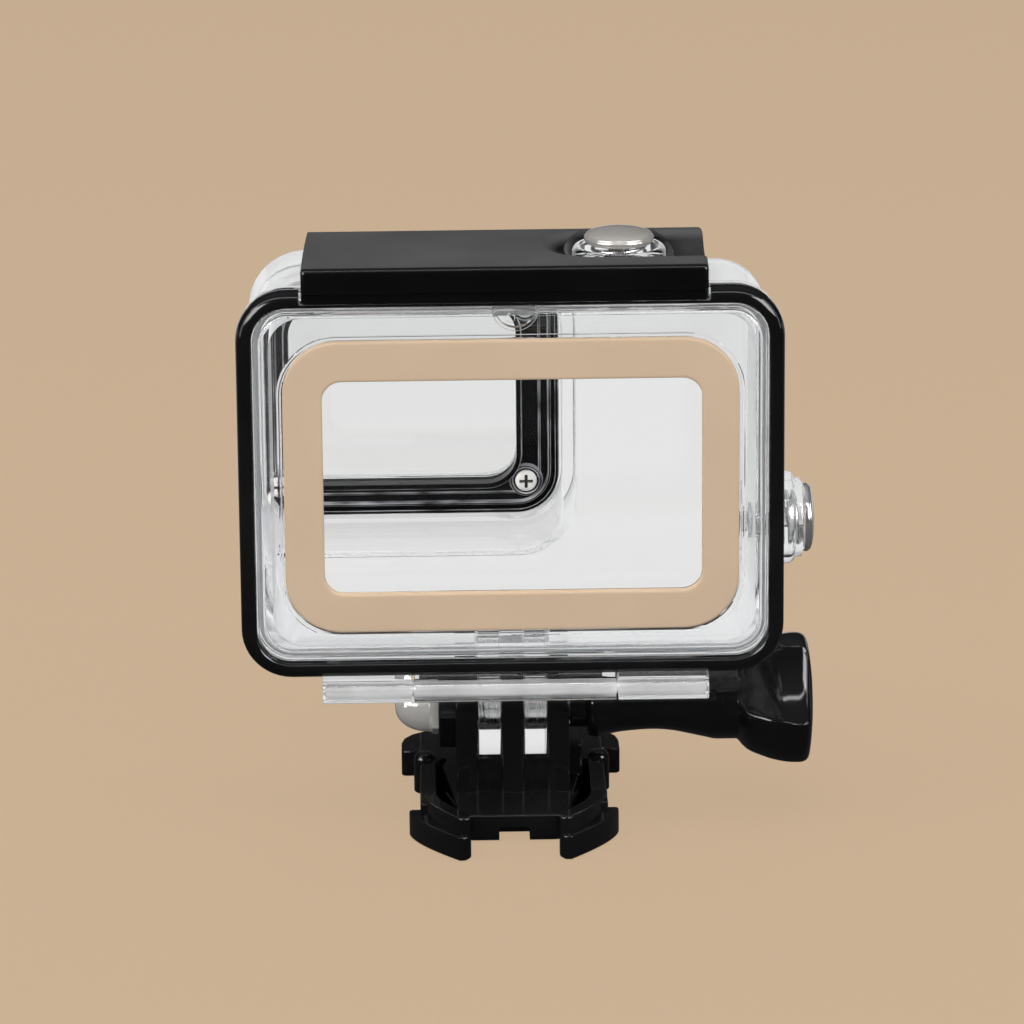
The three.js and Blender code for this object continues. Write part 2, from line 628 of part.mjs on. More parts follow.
function doorPlate() {
  const flange = alongY(rimOutline(doorFlangeInset), doorFlangeRear, doorFlangeFront);
  const steps = [0, 1, 2].map((level) => alongY(
    doorField(level * DOOR.stepWide), fieldRear + (2 - level) * DOOR.stepHigh, doorFlangeRear + FIT.sink));
  const bead = alongY(
    frameOutline(FIT.gap / 2 + MEMBRANE_FIT.bead), fieldRear - MEMBRANE_FIT.beadProud, fieldRear + FIT.sink,
    frameOutline(FIT.gap / 2));
  return join(flange, ...steps, bead);
}

// Half-round finger notch at the door's top edge, with its raised lip and round mark
function fingerNotch(field) {
  const top = rimTop - RING.wide - RING.seatGap;
  const lip = barY(NOTCH.across, top, NOTCH.radius + NOTCH.lip, fieldRear - FIT.slide, fieldRear + FIT.sink);
  const bound = alongY(doorField(0), fieldRear - FIT.overrun, doorFlangeRear);
  const hollow = barY(NOTCH.across, top, NOTCH.radius, fieldRear - FIT.overrun, fieldRear + NOTCH.deep);
  const dot = barY(
    NOTCH.across + NOTCH.dotShift, top - NOTCH.dotDrop, NOTCH.dot, fieldRear + NOTCH.deep / 2,
    fieldRear + NOTCH.deep + FIT.sink);
  return join(cut(join(field, lip.intersect(bound)), hollow), dot);
}

function rearDoor() {
  const frameSeat = fieldRear + MEMBRANE_FIT.seatDeep;
  const filmSeat = frameSeat + MEMBRANE_FIT.filmDeep;
  const farRear = fieldRear - FIT.overrun;
  const grooveFrom = doorFlangeFront - SEAL.deep;
  const seatCut = alongY(frameOutline(FIT.gap / 2), farRear, frameSeat);
  const filmCut = alongY(windowOutline(MEMBRANE_FIT.filmEdge + FIT.gap), farRear, filmSeat);
  const window = alongY(windowOutline(0), farRear, doorFlangeFront + FIT.overrun);
  const groove = alongY(
    rimOutline(SEAL.from), grooveFrom, doorFlangeFront + FIT.overrun, rimOutline(SEAL.from + SEAL.groove));
  const pinBore = barX(
    hingeY, hingeZ, HINGE.pin + FIT.slide, HINGE.doorFrom - FIT.overrun, HINGE.doorTo + FIT.overrun);
  const plate = fingerNotch(doorPlate());
  return cut(join(plate, doorBarrel()), seatCut, filmCut, window, groove, pinBore, latchRoom());
}

// Black ring around the door: rolled over at the rear, with a skirt round the flange's edge
// that is open at the top for the latch's lip and below for the hinge's arm
function doorRing() {
  const rear = RIM.rear;
  const front = rear + RING.deep;
  const outer = RING.roll * RING_ROLL.outerShare;
  const profile = [
    [0, doorFlangeFront], [0, rear + RING.roll], [outer, rear + outer], [RING.roll, rear],
    [RING.wide - RING.roll * RING_ROLL.innerShare, rear],
    [RING.wide - RING.roll * RING_ROLL.innerEdgeShare, rear + outer],
    [RING.wide, rear + RING.roll * RING_ROLL.innerDropShare], [RING.wide, front],
    [RING.skirt, front], [RING.skirt, doorFlangeFront]];
  const hingeRoom = block(
    HINGE.doorFrom - FIT.gap, HINGE.doorTo + FIT.gap, front, doorFlangeFront + FIT.overrun,
    rimBottom - FIT.overrun, rimBottom + doorFlangeInset + FIT.slide);
  return cut(moulding(rimOutline, profile), latchRoom(), hingeRoom);
}

// Soft cord that closes the door onto the case's flange
function doorSeal() {
  const side = (SEAL.groove - SEAL.cordWide) / 2;
  const from = SEAL.from + side;
  const to = from + SEAL.cordWide;
  const rear = doorFlangeFront - SEAL.deep + FIT.slide;
  const front = rear + SEAL.deep + FIT.slide;
  const roll = SEAL.cordWide / 4;
  return moulding(rimOutline, [
    [from, rear], [from, front - roll], [from + roll, front],
    [to - roll, front], [to, front - roll], [to, rear]]);
}

function touchMembrane() {
  const front = fieldRear + MEMBRANE_FIT.seatDeep + MEMBRANE_FIT.filmDeep - FIT.slide;
  return alongY(windowOutline(MEMBRANE_FIT.filmEdge), front - MEMBRANE_FIT.film, front);
}

// Flat frame with softly rolled edges that holds the membrane
function membraneFrame() {
  const rear = fieldRear - MEMBRANE_FIT.frameProud;
  const front = fieldRear + MEMBRANE_FIT.seatDeep - FIT.slide;
  const roll = MEMBRANE_FIT.frameProud;
  const outer = skin([
    frameOutline(-roll / 2).map(([x, z]) => [x, rear, z]),
    frameOutline(0).map(([x, z]) => [x, rear + roll / 2, z]),
    frameOutline(0).map(([x, z]) => [x, front, z]),
  ]);
  const hole = skin([
    windowOutline(roll / 2).map(([x, z]) => [x, rear - FIT.slide, z]),
    windowOutline(0).map(([x, z]) => [x, rear + roll / 2, z]),
    windowOutline(0).map(([x, z]) => [x, front + FIT.overrun, z]),
  ]);
  return cut(outer, hole);
}

function doorPin() {
  return barX(hingeY, hingeZ, HINGE.pin, HINGE.caseFrom + FIT.gap, HINGE.caseTo - FIT.gap);
}

// Latch

// Side outline in (y, z): crowned top, tall rear face with its stepped lip, round barrel
function latchOutline() {
  const edge = LATCH_SKIRT.lipStep;
  const barrelTop = latchPivot[1] + LATCH_SKIRT.barrel;
  const crownRear = latchRear + 2 * edge;
  const crowned = Array.from({ length: FACETS.corner }, (_, step) => {
    const share = step / FACETS.corner;
    const y = crownRear + (LATCH.pivotY - crownRear) * share;
    const z = latchTop + (barrelTop - latchTop) * share + LATCH.crown * 4 * share * (1 - share);
    return [y, z];
  });
  const lipRear = latchRear + edge;
  const lipFront = lipRear + LATCH_SKIRT.lipThick;
  return [
    [latchRear, latchFaceBottom], [latchRear, latchTop - edge], ...crowned,
    ...arc(latchPivot, LATCH_SKIRT.barrel, 90, -90, 2 * FACETS.corner),
    [LATCH.pivotY - LATCH_SKIRT.barrel, latchFaceBottom], [lipFront, latchFaceBottom],
    [lipFront, latchLipBottom], [lipRear, latchLipBottom], [lipRear, latchFaceBottom - edge]];
}

// Scoop in the top: a trough that runs out at the right end and closes round at the left
function latchScoop() {
  const half = (SCOOP.front - SCOOP.rear) / 2;
  const radius = (half * half + SCOOP.deep * SCOOP.deep) / (2 * SCOOP.deep);
  const y = (SCOOP.front + SCOOP.rear) / 2;
  const z = latchTop - SCOOP.deep + radius + LATCH.crown;
  const x = SCOOP.left + half;
  const trough = barX(y, z, radius, x, LATCH.right + FIT.overrun, 3 * FACETS.round);
  const ball = new THREE.SphereGeometry(radius, 3 * FACETS.round, 2 * FACETS.round);
  const end = solidOf(ball.rotateZ(Math.PI / 2));
  const bound = block(
    SCOOP.left - FIT.overrun, x + FIT.sink, SCOOP.rear - FIT.overrun, SCOOP.front + FIT.overrun,
    latchFaceBottom - SCOOP.deep, latchTop + radius);
  return join(trough, end.translate([x, y, z]).intersect(bound));
}

// Clearance that lets the case's lug stay inside the barrel while the latch turns
function lugRoom(from, to) {
  const radius = LATCH_LUG.radius + FIT.gap;
  const reach = LATCH_SKIRT.barrel + FIT.overrun;
  const [pivotY, pivotZ] = latchPivot;
  const fan = [
    latchPivot, ...arc(latchPivot, reach, LATCH_LUG.mouthDeg, -90), [pivotY - radius, pivotZ - reach],
    [pivotY - radius, pivotZ]];
  return join(
    barX(...latchPivot, radius, from - FIT.gap, to + FIT.gap),
    alongX([...fan].reverse(), from - FIT.gap, to + FIT.gap));
}

function latchCover() {
  const solid = alongX(latchOutline(), LATCH.left, LATCH.right);
  const wall = LATCH_SKIRT.wall;
  const pocketRear = latchRear + LATCH_SKIRT.lipStep + LATCH_SKIRT.lipThick + FIT.sink;
  const pocketFront = LATCH.pivotY - LATCH_SKIRT.barrel - FIT.sink;
  const from = LATCH.left + wall;
  const to = SHUTTER.x - SHUTTER.latchHole - wall;
  const rib = wall / 2;
  const span = (to - from - (LATCH_SKIRT.ribs - 1) * rib) / LATCH_SKIRT.ribs;
  const pockets = Array.from({ length: LATCH_SKIRT.ribs }, (_, k) => block(
    from + k * (span + rib), from + k * (span + rib) + span, pocketRear, pocketFront,
    latchFaceBottom - FIT.overrun, latchTop - LATCH_SKIRT.roof));
  const hole = barZ(
    SHUTTER.x, SHUTTER.y, SHUTTER.latchHole, latchLipBottom, latchTop + SCOOP.deep, 2 * FACETS.small);
  const underBar = block(
    SHUTTER.x - SHUTTER.latchHole, SHUTTER.x + SHUTTER.latchHole - FIT.overrun, pocketFront,
    LATCH.pivotY + LATCH_SKIRT.barrel + FIT.overrun, latchLipBottom - FIT.overrun, latchPivot[1] + FIT.gap);
  const pinRadius = LATCH_LUG.pin + FIT.slide;
  const leftBore = barX(
    ...latchPivot, pinRadius, LATCH.left - FIT.overrun, LATCH_LUG.leftTo + FIT.gap + LATCH_LUG.pinReach);
  const rightBore = barX(...latchPivot, pinRadius, SHUTTER.x, LATCH.right + FIT.overrun);
  return cut(
    solid, latchScoop(), hole, underBar, ...pockets, leftBore, rightBore,
    lugRoom(LATCH_LUG.leftFrom, LATCH_LUG.leftTo), lugRoom(LATCH_LUG.rightFrom, LATCH_LUG.rightTo));
}

function latchPin(from, to) {
  return barX(...latchPivot, LATCH_LUG.pin, from, to);
}

// Buckle

// Plan outline of the base: full width at the front, drawn in beside the arms, with round rear corners
function basePlan() {
  const socketY = ARM.pivotY + ARM.knuckle;
  const corner = SPINE.rearCorner;
  const rearArc = arc([SPINE.rearHalf - corner, SPINE.rear + corner], corner, 0, -90);
  const right = [
    [BUCKLE.half, BUCKLE.front - BUCKLE.nose], [BUCKLE.half, socketY], [SPINE.frontHalf, socketY],
    [SPINE.frontHalf, ARM.pivotY - ARM.knuckle], ...rearArc];
  const left = right.map(([x, y]) => [-x, y]).reverse();
  const nose = [[-BUCKLE.half + BUCKLE.nose, BUCKLE.front], [BUCKLE.half - BUCKLE.nose, BUCKLE.front]];
  return [...right, ...left, ...nose];
}

function armPivot(side) {
  return [side * (BUCKLE.half - ARM.knuckle), ARM.pivotY];
}

// Wedge ears at the front that slide under the mount's rails
function ear(side) {
  const points = [
    [side * (BUCKLE.half - FIT.sink), BUCKLE.earFrom], [side * BUCKLE.earHalf, BUCKLE.earFrom + FIT.sink],
    [side * BUCKLE.earHalf, BUCKLE.front - BUCKLE.nose], [side * (BUCKLE.half - BUCKLE.nose), BUCKLE.front],
    [side * (BUCKLE.half - BUCKLE.nose), BUCKLE.earFrom]];
  return alongZ(side > 0 ? points : points.reverse(), 0, BUCKLE.earHigh);
}

// Bed that carries the three prongs, hollowed behind the axis to a cradle for the case's prongs
function prongBed() {
  const half = 2 * TILT.pitch + TILT.prongThick / 2;
  const base = BUCKLE.thick - FIT.sink;
  const rise = BUCKLE.thick + PRONG_FOOT.bedRise;
  const radius = TILT.prongRadius + CRADLE.gap;
  const hollow = arc([0, TILT.height], radius, CRADLE.rearDeg, CRADLE.frontDeg);
  const rear = -TILT.prongRadius - FIT.slide;
  const outline = [
    [rear, base], [PRONG_FOOT.blockHalf + FIT.overrun, base], [PRONG_FOOT.buckle, rise],
    ...[...hollow].reverse(), [rear, hollow[0][1]]];
  return alongX(outline, -half, half);
}

// Rib on the right prong, just under the thumb screw's collar
function collarRest() {
  const inner = 2 * TILT.pitch + TILT.prongThick / 2;
  return block(
    inner - FIT.sink, inner + COLLAR_REST.out, -COLLAR_REST.half, COLLAR_REST.half,
    BUCKLE.thick - FIT.sink, TILT.height - COLLAR_REST.drop);
}

// Hexagonal boss on the left prong, with the pocket that holds the nut
function nutBoss() {
  const outer = -2 * TILT.pitch - TILT.prongThick / 2;
  const radius = NUT.radius + NUT.pocketWall;
  return alongX(arc([0, TILT.height], radius, 0, 300, 5), outer - NUT.pocketDeep, outer + FIT.sink);
}

function nutPocket() {
  const outer = -2 * TILT.pitch - TILT.prongThick / 2;
  const mouth = outer - NUT.pocketDeep - FIT.overrun;
  return alongX(arc([0, TILT.height], NUT.radius + FIT.gap, 0, 300, 5), mouth, outer + NUT.floor);
}

function buckleBase() {
  const plate = alongZ(basePlan(), 0, BUCKLE.thick);
  const prongs = [-1, 0, 1].map((k) => prong(2 * k * TILT.pitch, PRONG_FOOT.buckle, BUCKLE.thick - FIT.sink));
  const body = join(plate, ear(1), ear(-1));
  const sockets = [1, -1].map((side) => barZ(
    ...armPivot(side), ARM.knuckle + FIT.gap, -FIT.overrun, BUCKLE.thick + FIT.overrun, FACETS.round));
  const notch = block(
    -SPINE.notchHalf, SPINE.notchHalf, SPINE.rear - FIT.overrun, SPINE.rear + SPINE.notchDeep,
    -FIT.overrun, SPINE.notchHigh);
  const slopeFrom = -PRONG_FOOT.buckle - FIT.sink;
  const above = BUCKLE.thick + FIT.overrun;
  const slope = alongX(
    [[SPINE.rear - FIT.sink, SPINE.rearHigh], [slopeFrom, BUCKLE.thick], [slopeFrom, above],
      [SPINE.rear - FIT.sink, above]], -BUCKLE.half, BUCKLE.half);
  return cut(
    join(cut(body, ...sockets, notch, slope), prongBed(), collarRest(), nutBoss(), ...prongs),
    nutPocket(), barX(0, TILT.height, TILT.boreRadius, -KNOB.end, KNOB.end));
}

// Quarter of a bow from +X round to -Y: at 1 the power gives an ellipse, above 1 a flatter curve
function bow(middle, reach, power) {
  return arc([0, 0], 1, 0, -90).map(([x, y]) => [
    middle[0] + reach[0] * Math.abs(x) ** power, middle[1] - reach[1] * Math.abs(y) ** power]);
}

// Squeeze arm: knuckle, slim spring bar, tall curved wing and a low finger pad outside it
function squeezeArm(side) {
  const [pivotX, pivotY] = armPivot(1);
  const outer = BUCKLE.half;
  const inner = BUCKLE.half - ARM.thick;
  const top = ARM.lift + ARM.high;
  const bar = [
    [pivotX, pivotY], [outer - FIT.slide, pivotY], [outer, ARM.wingFrom],
    [inner, ARM.wingFrom], [inner, pivotY]];
  const middle = [ARM.wingMiddle, ARM.wingFrom];
  const reach = [outer - ARM.wingMiddle, ARM.wingFrom - ARM.rear];
  const tipX = ARM.wingMiddle - ARM.tip;
  const tipFront = ARM.rear + ARM.thick;
  const tip = [
    [tipX + ARM.tipRoll, ARM.rear], [tipX, ARM.rear + ARM.tipRoll],
    [tipX, tipFront - ARM.tipRoll], [tipX + ARM.tipRoll, tipFront]];
  const wing = [
    [outer, ARM.wingFrom + FIT.sink], ...bow(middle, reach, 1), ...tip,
    ...bow(middle, reach.map((size) => size - ARM.thick), 1).reverse(), [inner, ARM.wingFrom + FIT.sink]];
  const body = join(
    barZ(pivotX, pivotY, ARM.knuckle, ARM.lift, top, FACETS.round),
    alongZ([...bar].reverse(), ARM.lift, top),
    alongZ([...wing].reverse(), 0, ARM.wingHigh),
    armPad(middle, reach));
  return side > 0 ? body : body.mirror([1, 0, 0]);
}

// Low pad whose flat front end catches the mount, and whose bowed side takes the finger
function armPad(middle, reach) {
  const padOut = BUCKLE.half + ARM_PAD.out;
  const bowed = bow(
    [ARM.wingMiddle, ARM_PAD.bowFrom],
    [padOut - ARM.wingMiddle, ARM_PAD.bowFrom - ARM.rear + ARM_PAD.proud], ARM_PAD.bowShare);
  const hidden = bow(middle, reach.map((size) => size * ARM_PAD.sinkShare), 1).reverse();
  const outline = [
    [BUCKLE.half - FIT.sink, ARM_PAD.from], [padOut, ARM_PAD.from], ...bowed, ...hidden.slice(1)];
  return alongZ([...outline].reverse(), 0, ARM_PAD.high);
}

// Thumb screw and nut

function acornNut() {
  const from = -2 * TILT.pitch - TILT.prongThick / 2 + NUT.floor - FIT.slide;
  const hexEnd = from - NUT.hexLong;
  const hex = alongX(arc([0, TILT.height], NUT.radius, 0, 300, 5), hexEnd, from);
  const domeRadius = NUT.radius * Math.cos(Math.PI / 6);
  const dome = turned([
    [0, -FIT.sink], [domeRadius, -FIT.sink], [domeRadius, 0],
    ...arc([0, 0], 1, 0, 90).slice(1, -1).map(([u, v]) => [u * domeRadius, v * NUT.domeLong]),
    [0, NUT.domeLong]]).rotate([0, -90, 0]).translate([hexEnd, 0, TILT.height]);
  const boreEnd = ROD.left - FIT.gap;
  return cut(join(hex, dome), barX(0, TILT.height, rodBore, boreEnd, from + FIT.overrun));
}

// Steel rod with shallow thread grooves at the nut's end
function screwRod() {
  const profile = [[0, ROD.left], [TILT.rodRadius - 2 * ROD.thread, ROD.left]];
  const threadEnd = -TILT.pitch;
  const grooves = Math.floor((threadEnd - ROD.left) / ROD.threadPitch);
  for (let k = 0; k < grooves; k += 1) {
    const at = ROD.left + ROD.thread + k * ROD.threadPitch;
    profile.push([TILT.rodRadius, at + ROD.threadPitch / 3]);
    profile.push([TILT.rodRadius, at + ROD.threadPitch * ROD.crestShare]);
    profile.push([TILT.rodRadius - ROD.thread, at + ROD.threadPitch * ROD.rootShare]);
  }
  profile.push([TILT.rodRadius, threadEnd], [TILT.rodRadius, ROD.right], [0, ROD.right]);
  return turned(profile, FACETS.small).rotate([0, 90, 0]).translate([0, 0, TILT.height]);
}

// Lobed section in (y, z) at one x, between the lobe's and the valley's radius
function knobRing(x, lobe, valley) {
  return Array.from({ length: FACETS.lobed }, (_, step) => {
    const angle = step / FACETS.lobed * 2 * Math.PI;
    const share = (1 + Math.cos(LOBES.count * (angle - Math.PI / 2))) / 2;
    const radius = valley + (lobe - valley) * share ** LOBES.roundShare;
    return [x, radius * Math.cos(angle), TILT.height + radius * Math.sin(angle)];
  });
}

// Share of a quarter wave, from 0 to 1
const swell = (share) => Math.sin(share * Math.PI / 2);

function thumbKnob() {
  const start = 2 * TILT.pitch + TILT.prongThick / 2 + FIT.gap;
  const collarFrom = start + KNOB.shankLong;
  const waistFrom = collarFrom + KNOB.collarLong;
  const round = (x, radius) => knobRing(x, radius, radius);
  const shares = Array.from({ length: FACETS.corner }, (_, step) => step / FACETS.corner);
  const toWaist = shares.map((share) => round(
    waistFrom + (KNOB.waistAt - waistFrom) * share,
    KNOB.waist + (KNOB.collar - KNOB.waist) * (1 - share) ** 2));
  const toNeck = shares.map((share) => round(
    KNOB.waistAt + (KNOB.neckFrom - KNOB.waistAt) * share,
    KNOB.waist + (KNOB.neck - KNOB.waist) * share ** 2 * (3 - 2 * share)));
  const toHead = shares.map((share) => knobRing(
    KNOB.neckTo + (KNOB.headTo - KNOB.neckTo) * share,
    KNOB.neck + (KNOB.lobe - KNOB.neck) * swell(share),
    KNOB.neck + (KNOB.valley - KNOB.neck) * swell(share)));
  const roll = KNOB.roll;
  const small = roll * LOBES.rollShare;
  const body = skin([
    round(start, KNOB.shank), round(collarFrom, KNOB.shank),
    round(collarFrom + FIT.slide, KNOB.collar - FIT.gap), round(collarFrom + KNOB.collarLong / 2, KNOB.collar),
    ...toWaist, ...toNeck, round(KNOB.neckFrom, KNOB.neck), ...toHead,
    knobRing(KNOB.headTo, KNOB.lobe, KNOB.valley),
    knobRing(KNOB.end - roll, KNOB.lobe, KNOB.valley),
    knobRing(KNOB.end - small, KNOB.lobe - small, KNOB.valley - small),
    knobRing(KNOB.end, KNOB.lobe - roll, KNOB.valley - roll),
  ]);
  const bore = barX(0, TILT.height, rodBore, start - FIT.overrun, ROD.right + FIT.gap);
  const cup = barX(0, TILT.height, KNOB.cup, KNOB.end - KNOB.cupDeep, KNOB.end + FIT.overrun);
  return cut(body, bore, cup);
}

// Materials

const clear = (color, roughness) => new THREE.MeshStandardMaterial({
  color, roughness, metalness: 0, transparent: true, opacity: 0.35 });
const plain = (color, roughness, metalness = 0) => new THREE.MeshStandardMaterial({
  color, roughness, metalness });
const looks = {
  clearCase: () => clear(0xf4f8fa, 0.08),
  glass: () => clear(0xeaf4f4, 0.03),
  film: () => clear(0xffffff, 0.05),
  black: () => plain(0x08080a, 0.2),
  satin: () => plain(0x17181b, 0.45),
  rubber: () => plain(0x101012, 0.6),
  silicone: () => plain(0xc9ccce, 0.5),
  tan: () => plain(0xc8af93, 0.7),
  chrome: () => plain(0xd8d8da, 0.1, 1),
  steel: () => plain(0xb4b6b8, 0.3, 1),
};

const model = new THREE.Group();
model.name = 'underwater_camera_housing';

function add(name, solid, look) {
  const mesh = solid.getMesh();
  const geometry = new THREE.BufferGeometry();
  geometry.setAttribute('position', new THREE.Float32BufferAttribute(mesh.vertProperties, 3));
  geometry.setIndex([...mesh.triVerts]);
  geometry.computeVertexNormals();
  const node = new THREE.Mesh(geometry, looks[look]());
  node.name = name;
  model.add(node);
}

add('buckle_base', buckleBase(), 'black');
add('squeeze_arm_right', squeezeArm(1), 'black');
add('squeeze_arm_left', squeezeArm(-1), 'black');
add('acorn_nut', acornNut(), 'chrome');
add('thumb_knob', thumbKnob(), 'black');
add('screw_rod', screwRod(), 'steel');

add('front_case', frontCase(), 'clearCase');
add('port_glass', portGlass(), 'glass');
add('port_gasket', portGasket(), 'rubber');
add('port_retainer', portRetainer(), 'black');
portScrewPlaces().forEach((place, k) => add(`port_screw_${k + 1}`, portScrew(place), 'chrome'));
add('door_pin', doorPin(), 'steel');
add('latch_pin_left', latchPin(LATCH.left + FIT.gap, LATCH_LUG.leftTo + LATCH_LUG.pinReach), 'steel');
add('latch_pin_right', latchPin(LATCH_LUG.rightFrom - FIT.gap, LATCH.right - FIT.gap), 'steel');

add('rear_door', rearDoor(), 'clearCase');
add('door_ring', doorRing(), 'black');
add('door_seal', doorSeal(), 'silicone');
add('touch_membrane', touchMembrane(), 'film');
add('membrane_frame', membraneFrame(), 'tan');

add('latch_cover', latchCover(), 'satin');

const buttons = [['shutter', shutterPlace, shutterLevels], ['mode', modePlace, modeLevels]];
for (const [name, place, levels] of buttons) {
  add(`${name}_button`, place(buttonCap(levels)), 'chrome');
  add(`${name}_seal`, place(buttonSeal(levels)), 'rubber');
  add(`${name}_clip`, place(buttonClip(levels)), 'steel');
  add(`${name}_foot`, place(buttonFoot(levels)), 'rubber');
  add(`${name}_spring`, place(buttonSpring(levels, name)), 'steel');
}

export default model;
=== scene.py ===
# %% [markdown]
# # Underwater camera housing
# A clear moulded case for a small action camera stands on a black quick-release buckle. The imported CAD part
# is loaded first and never moved: it says where everything is. Each visible moulding is then made again as a
# finer surface that rides on the same body, so edges catch light and curves stay round in a close view.
# All shapes are worked out in millimetres and put into the meshes in metres.

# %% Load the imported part
import math

import bmesh
import bpy
import numpy as np
from mathutils import Matrix, Vector


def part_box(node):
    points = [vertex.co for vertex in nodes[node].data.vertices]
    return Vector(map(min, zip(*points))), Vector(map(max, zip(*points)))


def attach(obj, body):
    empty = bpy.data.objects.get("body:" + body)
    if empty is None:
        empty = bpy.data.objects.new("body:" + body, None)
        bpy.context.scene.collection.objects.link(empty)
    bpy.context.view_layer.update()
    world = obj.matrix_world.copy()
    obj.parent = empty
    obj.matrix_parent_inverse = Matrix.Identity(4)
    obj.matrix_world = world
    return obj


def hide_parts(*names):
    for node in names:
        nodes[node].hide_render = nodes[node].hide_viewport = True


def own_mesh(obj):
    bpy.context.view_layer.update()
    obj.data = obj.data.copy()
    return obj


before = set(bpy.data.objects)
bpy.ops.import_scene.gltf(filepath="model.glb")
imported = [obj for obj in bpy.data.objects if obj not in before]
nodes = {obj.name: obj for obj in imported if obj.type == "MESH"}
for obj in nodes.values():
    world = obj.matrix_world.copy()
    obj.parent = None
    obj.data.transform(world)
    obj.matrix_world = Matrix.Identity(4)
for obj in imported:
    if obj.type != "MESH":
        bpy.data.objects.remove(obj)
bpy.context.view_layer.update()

# %% [markdown]
# ## Surfaces from numbers
# Every new piece is a grid of points: a row is a closed outline, and the next row is the same outline further
# along. One function turns such a grid into a closed mesh. The sign of the volume tells which way the faces
# point, so no outline has to be drawn in a set direction.

# %% Skin over rings of points
MM = 0.001
SHARP = math.radians(34)


def skin(name, rings, closed=False):
    """Mesh over an (m, n, 3) grid in millimetres. Quad (i, j) joins rows i and i + 1 and columns j and j + 1, and
    columns wrap round. Open rows end in flat caps; a closed run joins the last row to the first."""
    rings = np.asarray(rings, float)
    rows, columns = rings.shape[:2]
    i, j = np.meshgrid(np.arange(rows if closed else rows - 1), np.arange(columns), indexing="ij")
    here, beside = i * columns, (j + 1) % columns
    onward = (i + 1) % rows * columns
    faces = np.stack([here + j, here + beside, onward + beside, onward + j], -1).reshape(-1, 4).tolist()
    if not closed:
        faces += [list(range(columns))[::-1], list(range((rows - 1) * columns, rows * columns))]
    mesh = bpy.data.meshes.new(name)
    mesh.from_pydata((rings.reshape(-1, 3) * MM).tolist(), [], faces)
    shape = bmesh.new()
    shape.from_mesh(mesh)
    if shape.calc_volume(signed=True) < 0:
        bmesh.ops.reverse_faces(shape, faces=shape.faces)
    shape.to_mesh(mesh)
    shape.free()
    piece = bpy.data.objects.new(name, mesh)
    bpy.context.scene.collection.objects.link(piece)
    return piece


def smooth(mesh):
    """Smooth shading, with an edge kept where its two faces turn by more than SHARP."""
    mesh.polygons.foreach_set("use_smooth", np.ones(len(mesh.polygons), bool))
    mesh.set_sharp_from_angle(angle=SHARP)


print("edges stay sharp above", round(math.degrees(SHARP)), "degrees")

# %% [markdown]
# ## Outlines
# Moulded parts are mostly rounded rectangles and circles. An outline is either a function of an inset, so it
# can be drawn in by any amount, or a plain polygon that `shrink` draws in edge by edge.

# %% Rounded rectangles, arcs and drawn-in polygons
def rounded_rect(half, corner, centre, steps=12):
    """Counter-clockwise points: four quarter circles of the corner's radius, joined by straight sides."""
    corner = max(corner, 0.02)
    angle = (np.arange(4)[:, None] + np.linspace(0, 1, steps + 1)) * np.pi / 2
    side = np.array([[1, 1], [-1, 1], [-1, -1], [1, -1]])[:, None, :]
    bow = corner * np.stack([np.cos(angle), np.sin(angle)], -1)
    return (side * (np.array(half) - corner) + bow).reshape(-1, 2) + np.array(centre)


def arc(centre, radius, start, end, steps=16):
    """Points on a circle between two angles in degrees."""
    angle = np.radians(np.linspace(start, end, steps + 1))
    return np.array(centre) + radius * np.column_stack([np.cos(angle), np.sin(angle)])


def circle(centre, radius, steps=64):
    """Points all round a circle, without the first one again at the end."""
    return arc(centre, radius, 0, 360 - 360 / steps, steps - 1)


def shrink(outline, inset):
    """Moves each corner in along the mean of its two edge normals, lengthened until both edges move by the inset."""
    outline = np.asarray(outline, float)
    before = outline - np.roll(outline, 1, 0)
    after = np.roll(outline, -1, 0) - outline
    turn = np.sign(np.sum(np.cross(outline, np.roll(outline, -1, 0))))
    first, second = (turn * np.column_stack([-e[:, 1], e[:, 0]]) / np.linalg.norm(e, axis=1)[:, None]
                     for e in (before, after))
    mean = first + second
    mean /= np.linalg.norm(mean, axis=1)[:, None]
    reach = np.clip(np.sum(mean * first, 1), 0.4, 1)
    return outline + mean * (inset / reach)[:, None]


print("points on a rounded rectangle", len(rounded_rect((2, 1), 0.3, (0, 0))))

# %% Prisms with rolled edges, and turned pieces
ORDER = {"x": [2, 0, 1], "y": [0, 2, 1], "z": [0, 1, 2]}


def lift(outline, depth, axis):
    """Flat (n, 2) outline set at a depth along an axis. The outline is (y, z) for x, (x, z) for y, (x, y) for z."""
    return np.column_stack([outline, np.full(len(outline), depth)])[:, ORDER[axis]]


def prism(name, outline, low, high, axis="y", edge=0.2, steps=3, low_edge=None):
    """Outline pushed from low to high. Near each end it is drawn in along a quarter circle, so the rim is rolled:
    inset = edge (1 - sin a), depth = edge (1 - cos a). The low end may have a roll of its own."""
    at = outline if callable(outline) else lambda inset: shrink(outline, inset)
    if edge <= 0:
        return skin(name, [lift(at(0), low, axis), lift(at(0), high, axis)])
    turn = np.linspace(0, np.pi / 2, steps + 1)
    inset, depth = 1 - np.sin(turn), 1 - np.cos(turn)
    first = edge if low_edge is None else low_edge
    rings = [lift(at(first * i), low + first * d, axis) for i, d in zip(inset, depth)]
    rings += [lift(at(edge * i), high - edge * d, axis) for i, d in zip(inset[::-1], depth[::-1])]
    return skin(name, rings)


def turned(name, profile, axis="z", centre=(0, 0), steps=72, closed=False):
    """(radius, height) profile spun about an axis: each profile point becomes a circle at its height."""
    profile = np.maximum(np.asarray(profile, float), [[0.01, -1e9]])
    unit = circle((0, 0), 1, steps)
    return skin(name, [lift(np.array(centre) + unit * r, h, axis) for r, h in profile], closed)


